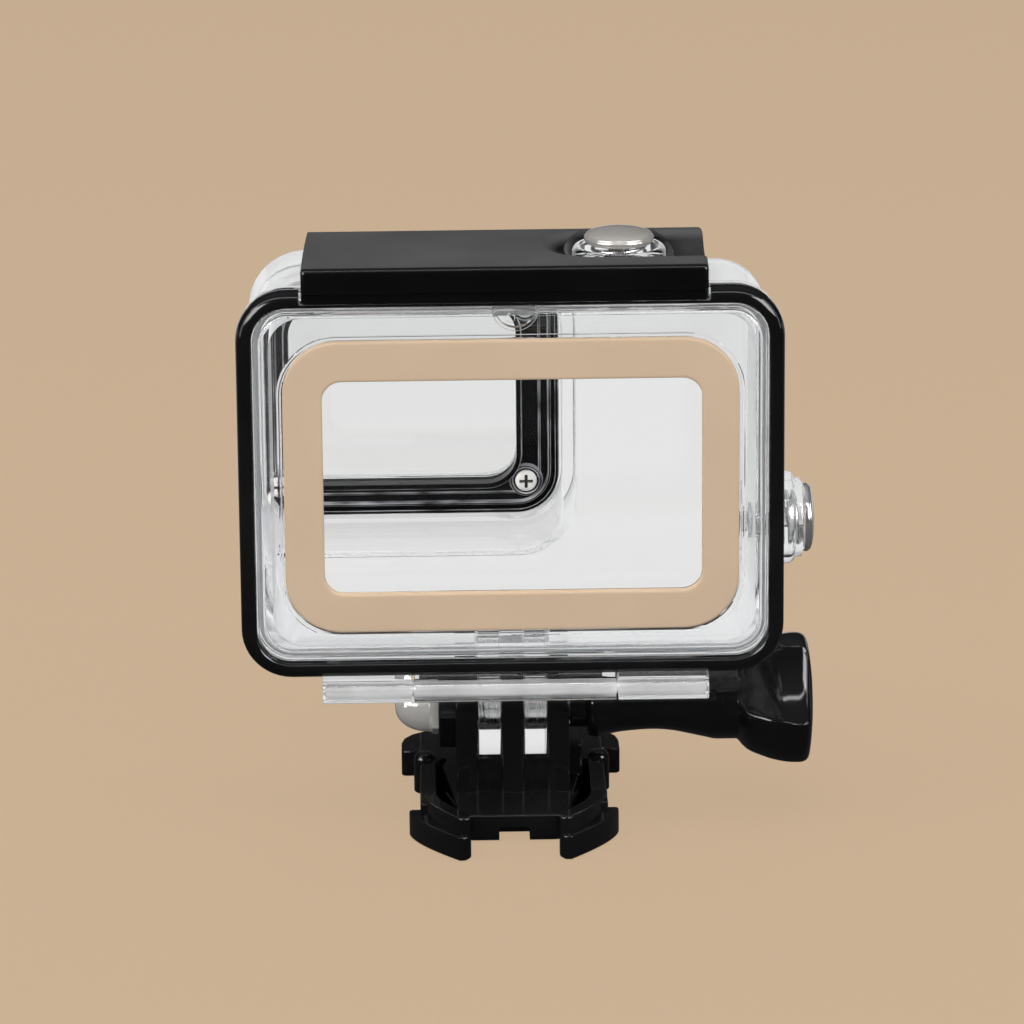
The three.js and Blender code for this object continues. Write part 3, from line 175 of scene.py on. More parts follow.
def rod(radius, low, high, at, steps=32, axis="x"):
    """Plain cylinder, used as a cutter."""
    return turned("bore", [(radius, low), (radius, high)], axis, at, steps)


def moulding(name, outline, profile):
    """Closed (inset, y) profile carried round an outline in the door's plane."""
    return skin(name, [lift(outline(inset), y, "y") for inset, y in profile], closed=True)


# %% [markdown]
# ## Adding and carving
# A real moulding is one body with bores and pockets. Here the closed surfaces are joined and cut with Boolean
# modifiers and the result is kept as a plain mesh, so nothing is left inside the clear plastic to bend light.

# %% Join, carve and finish a piece
def fuse(piece, joined=(), removed=(), kept=()):
    """Adds the joined surfaces to the piece, takes the removed ones away, and keeps what lies inside the kept ones."""
    tools = [(tool, "UNION") for tool in joined] + [(tool, "DIFFERENCE") for tool in removed]
    tools += [(tool, "INTERSECT") for tool in kept]
    for tool, kind in tools:
        step = piece.modifiers.new(kind, "BOOLEAN")
        step.operation, step.solver, step.object = kind, "MANIFOLD", tool
    result = bpy.data.meshes.new_from_object(piece.evaluated_get(bpy.context.evaluated_depsgraph_get()))
    piece.modifiers.clear()
    piece.data = result
    for tool, _ in tools:
        bpy.data.objects.remove(tool)
    return piece


def settle(piece, body, material, slot, *replaced):
    """Shades a finished piece, gives it its material and body, and hides the CAD nodes that it stands for. The slot is
    not used.
    Normals are weighted by face area: a wide flat face keeps its own normal and only its rolled rim bends light."""
    smooth(piece.data)
    weighted = piece.modifiers.new("weighted", "WEIGHTED_NORMAL")
    weighted.mode, weighted.weight, weighted.keep_sharp = "FACE_AREA", 100, True
    piece.data.name = piece.name
    piece.data.materials.clear()
    piece.data.materials.append(material)
    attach(piece, body)
    if replaced:
        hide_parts(*replaced)
    piece.data.calc_loop_triangles()
    print(piece.name, "on", body, len(piece.data.loop_triangles), "triangles")
    return piece


# %% [markdown]
# ## Finishes
# A moulded surface is never perfectly even: its gloss drifts over centimetres, and the mould's texture and
# fine handling marks show in the highlights. Each material mixes a few noises on Object coordinates into
# roughness and bump. The sizes in the noises are per metre.

# %% Helpers for node materials
def feed(tree, socket, value):
    """Links a socket to another one, or sets it to a plain number or colour."""
    if isinstance(value, bpy.types.NodeSocket):
        tree.links.new(value, socket)
    else:
        socket.default_value = (*value, 1) if isinstance(value, tuple) else value


def new_finish(name, **values):
    """Principled material with plain values set on the shader's own sockets."""
    material = bpy.data.materials.new(name)
    material.use_nodes = True
    shader = material.node_tree.nodes["Principled BSDF"]
    for socket, value in values.items():
        shader.inputs[socket.replace("_", " ")].default_value = value
    return material, material.node_tree, shader


def coordinates(tree, source="Object"):
    """The X, Y and Z outputs of a texture coordinate."""
    where, split = tree.nodes.new("ShaderNodeTexCoord"), tree.nodes.new("ShaderNodeSeparateXYZ")
    tree.links.new(where.outputs[source], split.inputs[0])
    return split.outputs


def attribute(tree, name):
    """A number stored on the mesh's faces."""
    node = tree.nodes.new("ShaderNodeAttribute")
    node.attribute_name = name
    return node.outputs["Fac"]


def noise(tree, scale, detail=3.0, stretch=(1, 1, 1), rough=0.5):
    """Noise on Object coordinates, with features of about 1 / scale metres."""
    where = tree.nodes.new("ShaderNodeTexCoord")
    mapping = tree.nodes.new("ShaderNodeMapping")
    mapping.inputs["Scale"].default_value = stretch
    field = tree.nodes.new("ShaderNodeTexNoise")
    field.inputs["Scale"].default_value = scale
    field.inputs["Detail"].default_value = detail
    field.inputs["Roughness"].default_value = rough
    tree.links.new(where.outputs["Object"], mapping.inputs["Vector"])
    tree.links.new(mapping.outputs["Vector"], field.inputs["Vector"])
    return field.outputs["Fac"]


def remap(tree, value, low, high, start=0.3, end=0.7):
    """Straight line from start..end to low..high, held at both ends."""
    node = tree.nodes.new("ShaderNodeMapRange")
    for socket, number in zip(("From Min", "From Max", "To Min", "To Max"), (start, end, low, high)):
        node.inputs[socket].default_value = number
    tree.links.new(value, node.inputs["Value"])
    return node.outputs["Result"]


def add(tree, first, second, operation="ADD"):
    """Sum of two values, or another operation on them."""
    node = tree.nodes.new("ShaderNodeMath")
    node.operation = operation
    for socket, value in zip(node.inputs, (first, second)):
        feed(tree, socket, value)
    return node.outputs[0]


def tint(tree, value, first, second):
    """Colour between two others, each plain or linked, by a value from 0 to 1."""
    node = tree.nodes.new("ShaderNodeMix")
    node.data_type = "RGBA"
    for socket, colour in zip([socket for socket in node.inputs if socket.type == "RGBA"], (first, second)):
        feed(tree, socket, colour)
    tree.links.new(value, node.inputs["Factor"])
    return next(socket for socket in node.outputs if socket.type == "RGBA")


def relief(tree, shader, height, distance, strength=1.0, rolled=0.0):
    """Bump of a height field. Where rolled is set, edges are first softened over that radius in metres."""
    bump = tree.nodes.new("ShaderNodeBump")
    bump.inputs["Distance"].default_value = distance
    bump.inputs["Strength"].default_value = strength
    tree.links.new(height, bump.inputs["Height"])
    if rolled:
        edge = tree.nodes.new("ShaderNodeBevel")
        edge.samples = 4
        edge.inputs["Radius"].default_value = rolled
        tree.links.new(edge.outputs["Normal"], bump.inputs["Normal"])
    tree.links.new(bump.outputs["Normal"], shader.inputs["Normal"])


def pick(tree, factor, first, second):
    """Shader that is the first at factor 0 and the second at factor 1."""
    mix = tree.nodes.new("ShaderNodeMixShader")
    for socket, value in zip(mix.inputs, (factor, first, second)):
        feed(tree, socket, value)
    return mix.outputs[0]


def light_path(tree, ray):
    """1 for one kind of ray and 0 for the others."""
    return tree.nodes.new("ShaderNodeLightPath").outputs[ray]


def plain(tree, kind, colour):
    """Matte, see-through or glowing shader of one colour, plain or linked."""
    node = tree.nodes.new(kind)
    feed(tree, node.inputs["Color"], colour)
    return node.outputs[0]


# %% [markdown]
# ### Clear plastic, glass and film
# The door is polycarbonate, whose high index gives bright rims and dark lines at its bends. The case has a lower
# one, because a view through all of its walls has to stay readable, and a pale bloom where it is seen at a grazing
# angle. The film's index is lower still: mirrored light from its second face would lay a veil over what is behind.
# Lamps have to light what is inside, so shadow rays pass straight through a faint tint.

# %% Clear plastic, port glass and window film
def clear_finish(name, colour, ior, gloss, wave_scale, wave, shade, haze=0.0):
    """Transmitting Principled shader, swapped for a tinted Transparent one on shadow rays. Haze is the share of pale
    scattering where the surface is seen at a grazing angle, as on a moulding with fine scuffs."""
    material, tree, shader = new_finish(name, Base_Color=(*colour, 1), Transmission_Weight=1.0, IOR=ior)
    drift = remap(tree, noise(tree, 60, 4), *gloss)
    marks = remap(tree, noise(tree, 900, 6, (1, 0.12, 0.12), 0.7), 0, gloss[1] * 0.8, 0.62, 0.75)
    tree.links.new(add(tree, drift, marks), shader.inputs["Roughness"])
    relief(tree, shader, noise(tree, wave_scale, 2), wave)
    body = shader.outputs[0]
    if haze:
        grazing = remap(tree, tree.nodes.new("ShaderNodeLayerWeight").outputs["Facing"], 0, haze, 0.55, 0.98)
        body = pick(tree, grazing, body, plain(tree, "ShaderNodeBsdfDiffuse", (0.86, 0.86, 0.86)))
    through = plain(tree, "ShaderNodeBsdfTransparent", shade)
    tree.links.new(pick(tree, light_path(tree, "Is Shadow Ray"), body, through),
                   tree.nodes["Material Output"].inputs["Surface"])
    return material


clear_plastic = clear_finish(
    "clear_door_plastic", (0.95, 0.956, 0.96), 1.58, (0.004, 0.03), 45, 0.00004, (0.9, 0.91, 0.92))
case_plastic = clear_finish(
    "clear_case_plastic", (0.985, 0.988, 0.99), 1.36, (0.02, 0.07), 30, 0.00002, (0.92, 0.93, 0.94), 0.75)
port_glass = clear_finish(
    "port_glass_clear", (0.955, 0.965, 0.96), 1.52, (0.0, 0.01), 20, 0.00001, (0.92, 0.93, 0.93))
clear_film = clear_finish(
    "window_film_clear", (0.985, 0.985, 0.98), 1.14, (0.0, 0.012), 22, 0.00002, (0.93, 0.93, 0.93))
print("clear finishes", len(bpy.data.materials))

# %% [markdown]
# ### Black mouldings
# The ring, the buckle and the thumb screw are polished black, with a faint orange-peel from the mould. The
# latch is satin: a fine even grain on top, and a smoother rear face. Its top's lighter grey is a painted sheen, and
# the low part of its scoop has painted shade. The port's frame is dull, because mirrored light in it would read as
# grey through the door; the pale lines along its ribs' flanks are painted highlights.

# %% Black gloss, port frame, satin latch, rubber and seal
def black_gloss(name, rolled=0.00018):
    """Deep black whose gloss drifts, with fine handling marks that dull it and edges that look rolled."""
    material, tree, shader = new_finish(name, IOR=1.5, Specular_IOR_Level=0.3)
    body = noise(tree, 90, 5)
    tree.links.new(tint(tree, remap(tree, body, 0, 1), (0.004, 0.004, 0.0045), (0.008, 0.008, 0.0085)),
                   shader.inputs["Base Color"])
    marks = remap(tree, noise(tree, 1400, 5, (1, 0.2, 0.5), 0.7), 0, 0.1, 0.6, 0.78)
    tree.links.new(add(tree, remap(tree, noise(tree, 45, 3), 0.05, 0.12), marks), shader.inputs["Roughness"])
    relief(tree, shader, noise(tree, 420, 2), 0.00002, 0.25, rolled)
    return material


def port_black():
    """Dull black of the port's frame. Its ribs' marked flanks carry painted highlights: pale streaky lines."""
    material, tree, shader = new_finish("port_frame_black", IOR=1.5, Specular_IOR_Level=0.08)
    shade = tint(tree, remap(tree, noise(tree, 160, 4), 0, 1), (0.0016, 0.0016, 0.0018), (0.004, 0.004, 0.0044))
    streaks = remap(tree, noise(tree, 700, 3, (0.3, 1, 0.3)), 0, 1, 0.35, 0.65)
    # painted highlight: pale streaky lines on the ribs' flanks, standing in for the light they catch
    painted_highlight = tint(tree, streaks, (0.06, 0.06, 0.064), (0.5, 0.5, 0.52))
    tree.links.new(tint(tree, attribute(tree, "painted_glint"), shade, painted_highlight), shader.inputs["Base Color"])
    tree.links.new(remap(tree, noise(tree, 300, 4), 0.05, 0.12), shader.inputs["Roughness"])
    relief(tree, shader, noise(tree, 500, 2), 0.00002, 0.3, 0.00012)
    return material


def satin_latch():
    """Satin grain. The top's lighter grey is a painted sheen. A mask along Y makes the rear face darker and smoother
    than the top. A second mask does so low in the scoop, as painted shade, and less where the scoop runs out to the
    right."""
    material, tree, shader = new_finish("satin_latch_black", IOR=1.48, Specular_IOR_Level=0.35)
    x, y, z = coordinates(tree)
    # painted shade: this mask darkens the scoop low down, and less where it runs out to the right
    hollow = add(tree, remap(tree, z, 1, 0, 0.0796, 0.0802), remap(tree, x, 1, 0.6, 0.0205, 0.0235), "MULTIPLY")
    face = add(tree, remap(tree, y, 1, 0, -0.0166, -0.0161), hollow, "MAXIMUM")
    # painted sheen: the top's lighter grey stands in for the glow it would mirror
    top_painted_sheen = tint(tree, remap(tree, noise(tree, 120, 5), 0, 1), (0.054, 0.054, 0.055), (0.07, 0.07, 0.071))
    tree.links.new(tint(tree, face, top_painted_sheen, (0.0015, 0.0016, 0.002)), shader.inputs["Base Color"])
    gloss = remap(tree, face, 0.42, 0.2, 0, 1)
    tree.links.new(add(tree, gloss, remap(tree, noise(tree, 70, 4), -0.03, 0.05)), shader.inputs["Roughness"])
    relief(tree, shader, noise(tree, 2600, 2), 0.00004, 0.3, 0.00018)
    return material


def rubber():
    """Dull black with a fine grain, for seals and feet."""
    material, tree, shader = new_finish("black_seal_rubber", IOR=1.45)
    tree.links.new(tint(tree, noise(tree, 300, 4), (0.008, 0.008, 0.009), (0.02, 0.02, 0.021)),
                   shader.inputs["Base Color"])
    tree.links.new(remap(tree, noise(tree, 200, 4), 0.45, 0.7), shader.inputs["Roughness"])
    relief(tree, shader, noise(tree, 3000, 2), 0.00003, 0.4)
    return material


def seal_cord():
    """Grey silicone that lets some light through."""
    material, tree, shader = new_finish(
        "grey_silicone_cord", IOR=1.43, Transmission_Weight=0.35, Subsurface_Weight=0.2, Subsurface_Scale=0.0006)
    tree.links.new(tint(tree, noise(tree, 220, 4), (0.34, 0.345, 0.35), (0.44, 0.445, 0.45)),
                   shader.inputs["Base Color"])
    tree.links.new(remap(tree, noise(tree, 150, 3), 0.3, 0.5), shader.inputs["Roughness"])
    relief(tree, shader, noise(tree, 1800, 2), 0.00002, 0.4)
    return material


gloss_black, satin_black, frame_black = black_gloss("gloss_black_moulding"), satin_latch(), port_black()
seal_rubber, silicone = rubber(), seal_cord()
print("materials so far", len(bpy.data.materials))

# %% [markdown]
# ### Tan band and metals
# The band round the window is matte, the colour of the backdrop. Plating and steel mix a mirror with a pale even
# satin, because a small bright part in a studio mostly shows its lamps' soft light. Steel has fine turning marks.

# %% Tan band, bright plating and steel
def tan_band_finish():
    """Matte tan, a little cloudy, with a paper-fine grain."""
    material, tree, shader = new_finish("matte_tan_band", IOR=1.42)
    cloudy = remap(tree, noise(tree, 70, 6), 0, 1)
    tree.links.new(tint(tree, cloudy, (0.582, 0.424, 0.284), (0.612, 0.45, 0.305)), shader.inputs["Base Color"])
    tree.links.new(remap(tree, noise(tree, 400, 4), 0.72, 0.85), shader.inputs["Roughness"])
    relief(tree, shader, noise(tree, 2400, 3), 0.00002, 0.3)
    return material


def metal(name, dark, light, gloss, stretch=(1, 1, 1), scale=500, depth=0.00001, share=1.0):
    """Mirror-like by the share, and for the rest a pale even satin. Faces marked as recess get painted shade, nearly
    black.
    """
    material, tree, shader = new_finish(name, Metallic=share)
    even = tint(tree, remap(tree, noise(tree, 180, 4), 0, 1), dark, light)
    # painted shade for recesses: nearly black with a faint mottle
    recess_painted_shade = tint(tree, noise(tree, 900, 3), (0.012, 0.012, 0.012), (0.04, 0.039, 0.038))
    tree.links.new(tint(tree, attribute(tree, "recess"), even, recess_painted_shade), shader.inputs["Base Color"])
    turned_marks = noise(tree, scale, 4, stretch, 0.65)
    tree.links.new(remap(tree, turned_marks, *gloss), shader.inputs["Roughness"])
    relief(tree, shader, turned_marks, depth, 0.3)
    return material


tan_band = tan_band_finish()
screw_plating = metal("screw_plating", (0.78, 0.76, 0.73), (0.92, 0.90, 0.87), (0.08, 0.2), share=0.35)
nut_plating = metal("nut_plating", (0.74, 0.715, 0.675), (0.92, 0.89, 0.845), (0.06, 0.16), share=0.5)
cap_plating = metal("button_cap_plating", (0.47, 0.445, 0.415), (0.57, 0.545, 0.51), (0.1, 0.2), scale=700, share=0.5)
mode_plating = metal("mode_cap_plating", (0.70, 0.69, 0.67), (0.86, 0.85, 0.83), (0.04, 0.1), scale=700, share=0.85)
pin_steel = metal(
    "pin_steel", (0.53, 0.525, 0.52), (0.66, 0.655, 0.65), (0.12, 0.24), (6, 1, 1), 200, 0.000004, share=0.55)
steel = metal("turned_steel", (0.5, 0.5, 0.5), (0.66, 0.66, 0.67), (0.16, 0.34), (14, 1, 1), 300, 0.00002)
print("all materials", len(bpy.data.materials))

# %% [markdown]
# ## Sizes shared by the case and the door
# The rim of the case, the ring and the door share one rounded rectangle. Everything in that plane is drawn in
# from it by an inset.

# %% The rim's outline and the places that hang on it
CENTRE_Z, RIM_HALF, RIM_CORNER = 50.3, (36.0, 26.5), 6.7
CASE_HALF, CASE_CORNER, CASE_CENTRE, WALL = (34.25, 24.75), 6.5, (0.25, 50.05), 2.2
FIELD_REAR, BEHIND_DOOR = -15.8, -17.3
HINGE_Y, HINGE_Z, HINGE_RADIUS, HINGE_BORE = -15.2, 21.8, 1.65, 0.785
TILT_Z, PITCH, TILT_BORE, ROD_BORE, LATCH_BORE = 14.5, 3.1, 2.6, 2.55, 0.8
PORT_HALF, PORT_CORNER, PORT_CENTRE = (22.25, 19.15), 8.0, (-12.95, 52.75)
SHUTTER_AT, MODE_AT, LATCH_AT = (14.6, -4.8), (-3.5, 41.6), (1.2, 78.3)


def frame_of(half, corner, centre=(0, CENTRE_Z), steps=12):
    """Outline as a function of its inset, about a centre in the (x, z) plane."""
    return lambda inset: rounded_rect(
        (half[0] - inset, half[1] - inset), corner - inset, centre, steps)


rim, case_side = frame_of(RIM_HALF, RIM_CORNER), frame_of(CASE_HALF, CASE_CORNER, CASE_CENTRE)
port_side = frame_of(PORT_HALF, PORT_CORNER, PORT_CENTRE)
view_side = frame_of((15.55, 13.0), 4.2, (-14.25, 52.9))
low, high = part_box("front_case")
print("case box mm", [round(v / MM, 1) for v in (*low, *high)])

# %% [markdown]
# ## Clear case
# The real case is one injection moulding: a tub with a flange at the rear, a square lens port that stands out
# in front, two button wells, hinge knuckles and two prongs. It could be modelled by hand with a subdivision
# surface, but the wall would drift. Cans with a rolled front edge keep the wall even all round. The port's lower
# wall is drafted, inside and out alike, because walls that aren't parallel show a white wedge between them.

# %% Tub, flange, port and button wells
def can(name, outline, rear, front, edge, steps=10):
    """Outline pushed along Y, whose front edge is drawn in along a quarter circle."""
    turn = np.linspace(0, np.pi / 2, steps + 1)
    rings = [lift(outline(0), rear, "y")]
    rings += [lift(outline(edge * (1 - np.cos(a))), front - edge + edge * np.sin(a), "y") for a in turn]
    return skin(name, rings)


def well(axis, centre, wall, end, collar=()):
    """Button boss on a wall, its root flared and its rim rolled. A collar is more profile, for a boss in two steps."""
    turn = np.linspace(0, np.pi / 2, 7)
    root = [(6.2 + 0.5 * (1 - math.sin(a)), wall + 0.5 * (1 - math.cos(a))) for a in turn]
    rim_roll = [(6.2 - 0.9 * (1 - math.cos(a)), end - 0.9 * (1 - math.sin(a))) for a in turn]
    return turned("well", [(6.7, wall - 0.5), *root, *rim_roll, *collar], axis, centre)


def well_bore(axis, centre, floor, inner, ceiling, end):
    """Stepped bore: room for the clip, bore for the stem, gland for the seal and well for the cap."""
    return turned("bore", [
        (2.9, inner - 1.5), (2.9, ceiling), (1.5, ceiling), (1.5, floor - 1.2), (2.5, floor - 1.2), (2.5, floor),
        (4.8, floor), (5.1, floor + 0.3), (5.1, end - 0.2), (5.3, end), (5.3, end + 1.5)], axis, centre)


case_piece = can("case_moulding", case_side, -10.8, 12.0, 5.6)
PORT_DRAFT = ((6.4, 3.2), (12.2, 1.5), (19.0, 0.0))


def drafted(inset, y, drop=0):
    """Port outline drawn in by an inset at a depth, whose lower side hangs lower by the drop."""
    half = PORT_HALF[0] - inset, PORT_HALF[1] + drop / 2 - inset
    centre = PORT_CENTRE[0], PORT_CENTRE[1] - drop / 2
    return lift(rounded_rect(half, PORT_CORNER - inset, centre), y, "y")


front_roll = [(25.4 + 0.4 * math.sin(a), 0.4 * (1 - math.cos(a))) for a in np.linspace(0, np.pi / 2, 5)]
port_rings = [drafted(0, y, drop) for y, drop in PORT_DRAFT] + [drafted(inset, y) for y, inset in front_roll]
port_front = skin("port", port_rings)
flange = prism("flange", lambda inset: rim(0.4 + inset), -11.3, -9.8, "y", 0.4)
collar = [(5.3, 38.6), (5.2, 38.95)]
wells = [well("z", SHUTTER_AT, 74.8, 80.0), well("x", MODE_AT, 34.5, 38.0, collar)]
tub = can("tub", lambda inset: case_side(WALL + inset), -12.8, 12.0 - WALL, 5.6 - WALL)
tunnel = skin("tunnel", [drafted(1.8, y, drop) for y, drop in (*PORT_DRAFT, (21.3, 0))])
glass_seat = prism("seat", lambda inset: view_side(inset - 1.3), 6.4, 24.1, "y", 0)
sight = prism("sight", view_side, 6.4, 27.3, "y", 0)
chamfer = skin("chamfer", [lift(view_side(0), 25.3, "y"), lift(view_side(-0.8), 26.1, "y")])
bores = [well_bore("z", SHUTTER_AT, 76.3, 73.2, 74.15, 80.0), well_bore("x", MODE_AT, 35.4, 32.3, 32.3, 39.4)]
print("rings along the port", len(port_rings), "and wells", len(wells))

# %% Knuckles, lugs and prongs of the case
def lug(low, high):
    """Upright ear of the case round the latch's pin."""
    outline = np.vstack([arc(LATCH_AT, 1.4, 0, 180, 20), [[-0.2, 74.2], [2.6, 74.2]]])
    return prism("lug", outline, low, high, "x", 0.12)


def knuckle(low, high, web_front):
    """Round barrel with a web that runs forward to the flange that carries it."""
    outline = np.vstack([arc((HINGE_Y, HINGE_Z), HINGE_RADIUS, 90, 300, 28), web_front])
    return prism("knuckle", outline, low, high, "x", 0.1)


def prong(x, foot_half, foot_z, thick):
    """Plate along X, round about the tilt axis, running straight to a foot above or below."""
    middle = (0, TILT_Z)
    if foot_z > TILT_Z:
        outline = np.vstack([arc(middle, 7.5, 180, 360, 36), [[foot_half, foot_z], [-foot_half, foot_z]]])
    else:
        outline = np.vstack([arc(middle, 7.5, 0, 180, 36), [[-foot_half, foot_z], [foot_half, foot_z]]])
    return prism("prong", outline, x - thick / 2, x + thick / 2, "x", 0.2)


case_web = [[-10.0, 20.56], [-9.0, 21.06], [-9.0, 26.3], [-11.3, 26.3], [-11.3, 23.45]]
LUGS, PRONG_FOOT = ((-24.5, -21.5), (21.9, 23.9)), (8.8, 25.7, 3.0)
joined = [flange, port_front, *wells, *(lug(*ends) for ends in LUGS), knuckle(-25.4, -13.5, case_web),
          knuckle(14.0, 26.0, case_web), prong(-PITCH, *PRONG_FOOT), prong(PITCH, *PRONG_FOOT),
          prism("pad", frame_of((5.0, 9.2), 0.8, (0, 0), 4), 23.7, 25.7, "z", 0.2)]
pins = [rod(LATCH_BORE, -27.3, 25.9, LATCH_AT, 24), rod(HINGE_BORE, -27, 28, (HINGE_Y, HINGE_Z)),
        rod(TILT_BORE, -40, 40, (0, TILT_Z), 64)]
SCREWS, SCREW_BORE = [(2.6, 40.2), (-31.4, 40.2), (2.6, 65.3), (-31.4, 65.3)], 0.9
screw_bores = [rod(SCREW_BORE, 20.1, 23.9, at, 24, "y") for at in SCREWS]
fuse(case_piece, joined, [tub, tunnel, glass_seat, sight, chamfer, *bores, *pins, *screw_bores])
settle(case_piece, "case", case_plastic, "clear_plastic", "front_case")

# %% [markdown]
# ## Port frame, glass and screws
# A black frame with raised ribs clamps the port's glass from inside. On the real part it is one thin moulding. It
# could be a plate with beveled edges, but its look comes from thin pale lines along the flanks of its ribs, which are
# painted highlights. So each rib is a moulding with leaning sides, carried round the port's outline or the view
# opening's, and its flanks are marked for the material to paint those highlight lines on.

# %% Ribbed frame inside the port
def rib(low_inset, high_inset, rear, outline, slope=0.14):
    """Closed moulding between two insets, whose walls lean in by the slope towards a flat top with small chamfers."""
    low_top, high_top, chamfer = low_inset + slope, high_inset - slope, 0.08
    profile = [(low_inset, 21.3), (low_inset, 20.3), (low_top, rear + chamfer), (low_top + chamfer, rear),
               (high_top - chamfer, rear), (high_top, rear + chamfer), (high_inset, 20.3), (high_inset, 21.3)]
    return moulding("rib", outline, profile)


retainer = prism("port_frame", lambda inset: port_side(2.1 + inset), 20.2, 21.3, "y", 0)
ribs = [rib(2.1, 2.8, 19.0, port_side, 0.1), rib(3.15, 3.75, 19.3, port_side), rib(4.6, 5.05, 19.9, port_side, 0.1),
        rib(-0.85, 0.3, 19.3, view_side)]
SEAT = [(1.7, 21.0), (1.7, 19.75), (1.95, 19.6), (2.1, 19.6), (2.4, 20.3), (2.4, 21.0)]
seats = [turned("seat", SEAT, "y", at, 40, True) for at in SCREWS]
openings = [prism("open", view_side, 17, 23, "y", 0), *(rod(1.75, 17.5, 20.0, at, 40, "y") for at in SCREWS),
            *(rod(SCREW_BORE, 17.5, 22.8, at, 32, "y") for at in SCREWS)]
outside = prism("outside", lambda inset: port_side(2.1 + inset), 18, 22, "y", 0)
fuse(retainer, ribs + seats, openings)
fuse(retainer, kept=[outside])


def mark(piece, name, chosen):
    """Stores 1 on the faces that a test of (centres, normals) in metres chooses, and 0 on all others."""
    faces = piece.data.polygons
    centres, normals = (np.array([getattr(face, what) for face in faces]) for what in ("center", "normal"))
    values = chosen(centres, normals).astype(float)
    piece.data.attributes.new(name, "FLOAT", "FACE").data.foreach_set("value", values)
    print(name, "faces", int(values.sum()), "of", len(values))
    return piece


def on_flank(centre, normal):
    """A rib's flank or chamfer leans between the flat front and the straight wall."""
    lean = np.abs(normal[:, 1])
    return (lean > 0.1) & (lean < 0.9) & (centre[:, 1] < 20.4 * MM)


# the marked flanks get the frame's painted highlight lines
settle(mark(retainer, "painted_glint", on_flank), "case", frame_black, "satin_black", "port_retainer")


# %% Glass and its seal
glass_pane = prism("port_glass_pane", lambda inset: view_side(inset - 1.0), 21.6, 23.4, "y", 0.15)
settle(glass_pane, "case", port_glass, "port_glass", "port_glass")
flat_seal = moulding("port_flat_seal", view_side, [(-0.2, 23.5), (-0.2, 24.0), (-1.0, 24.0), (-1.0, 23.5)])
settle(flat_seal, "case", seal_rubber, "black_rubber", "port_gasket")


# %% Cross-head screws
def cross_screw(number, at):
    """Pan head turned from a quarter ellipse, with a cross cut into it. Faces deep in the cross get painted shade,
    nearly black.
    """
    def in_slot(centre, normal):
        """Near the axis and below the head's face."""
        away = np.hypot(centre[:, 0] - at[0] * MM, centre[:, 2] - at[1] * MM)
        return (away < 1.05 * MM) & (centre[:, 1] > 19.27 * MM) & (centre[:, 1] < 19.7 * MM)

    turn = np.linspace(0.05, np.pi / 2, 8)
    head = [(1.5 * math.sin(a), 19.1 + 0.45 * (1 - math.cos(a))) for a in turn]
    screw = turned(f"screw_{number}", [*head, (1.5, 19.9), (0.8, 19.9), (0.8, 23.6)], "y", at, 40)
    bars = [prism("slot", rounded_rect(half, 0.08, at, 3), 18, 19.6, "y", 0) for half in ((0.93, 0.22), (0.22, 0.93))]
    mark(fuse(screw, (), bars), "recess", in_slot)
    return settle(screw, "case", screw_plating, "chrome", f"port_screw_{number}")


for number, at in enumerate(SCREWS, 1):
    cross_screw(number, at)

# %% [markdown]
# ## Rear door
# The door is a second clear moulding: a flange under the ring, a tall step inside the ring and a field whose edge
# rolls down to it. A thin bead frames the window band, and a half-round notch at the top takes a fingernail. The
# steps bend light into the bright and dark parallel lines that frame the window. Outlines drawn in from one rim
# keep those lines parallel, which loops cut by hand would not.

# %% Stepped field, bead, notch and barrel
window = frame_of((25.15, 14.85), 2.7)
band = frame_of((30.0, 19.95), 7.3)
band_window = frame_of((24.95, 14.6), 2.6, (0.15, 50.2))
field = frame_of((RIM_HALF[0] - 2.95, RIM_HALF[1] - 3.3), 4.0, (0, CENTRE_Z + 0.3))
door = prism("door_moulding", lambda inset: rim(0.3 + inset), -13.65, -11.6, "y", 0.3)
steps = [prism("step", lambda inset: rim(2.25 + inset), -15.1, -12.7, "y", 0.2),
         prism("field", field, FIELD_REAR, -12.7, "y", 0.35, 4)]
bead = moulding("bead", band, [(-0.15, -15.3), (-0.15, -15.95), (-0.27, -16.08), (-0.45, -16.12), (-0.63, -16.08),
                               (-0.75, -15.95), (-0.75, -15.3)])
NOTCH_AT, NOTCH_RADIUS = (0.65, 74.5), 2.65
lip = prism("lip", circle(NOTCH_AT, NOTCH_RADIUS + 0.45, 72), -15.95, -15.3, "y", 0.12)
above = prism("above", rounded_rect((4.0, 2.0), 0.1, (0.65, 76.5), 3), BEHIND_DOOR, -13.25, "y", 0)
barrel_web = [[-11.9, 22.35], [-11.9, 25.95], [-13.1, 25.95], [-13.1, 23.45]]
fuse(door, [*steps, bead, fuse(lip, (), [above]), knuckle(-13.2, 13.7, barrel_web)])
groove = moulding("groove", rim, [(2.2, -12.4), (3.4, -12.4), (3.4, -10.1), (2.2, -10.1)])
through_door = [(BEHIND_DOOR, 0), (-14.4, 0), (-11.5, -1.1), (-10.1, -1.1)]
cuts = [prism("band_seat", lambda inset: band(inset - 0.15), BEHIND_DOOR, -15.0, "y", 0),
        prism("film_seat", lambda inset: window(inset - 3.1), BEHIND_DOOR, -14.4, "y", 0),
        skin("window", [lift(window(inset), y, "y") for y, inset in through_door]),
        groove,
        rod(HINGE_BORE, -15, 15, (HINGE_Y, HINGE_Z)),
        prism("notch", circle(NOTCH_AT, NOTCH_RADIUS, 72), BEHIND_DOOR, -14.9, "y", 0)]
dot = turned("dot", [(0.5, -15.35), (0.6, -15.25), (0.6, -14.4)], "y", (0.05, 73.0), 32)
fuse(fuse(door, (), cuts), [dot])
settle(door, "door", clear_plastic, "clear_plastic", "rear_door")

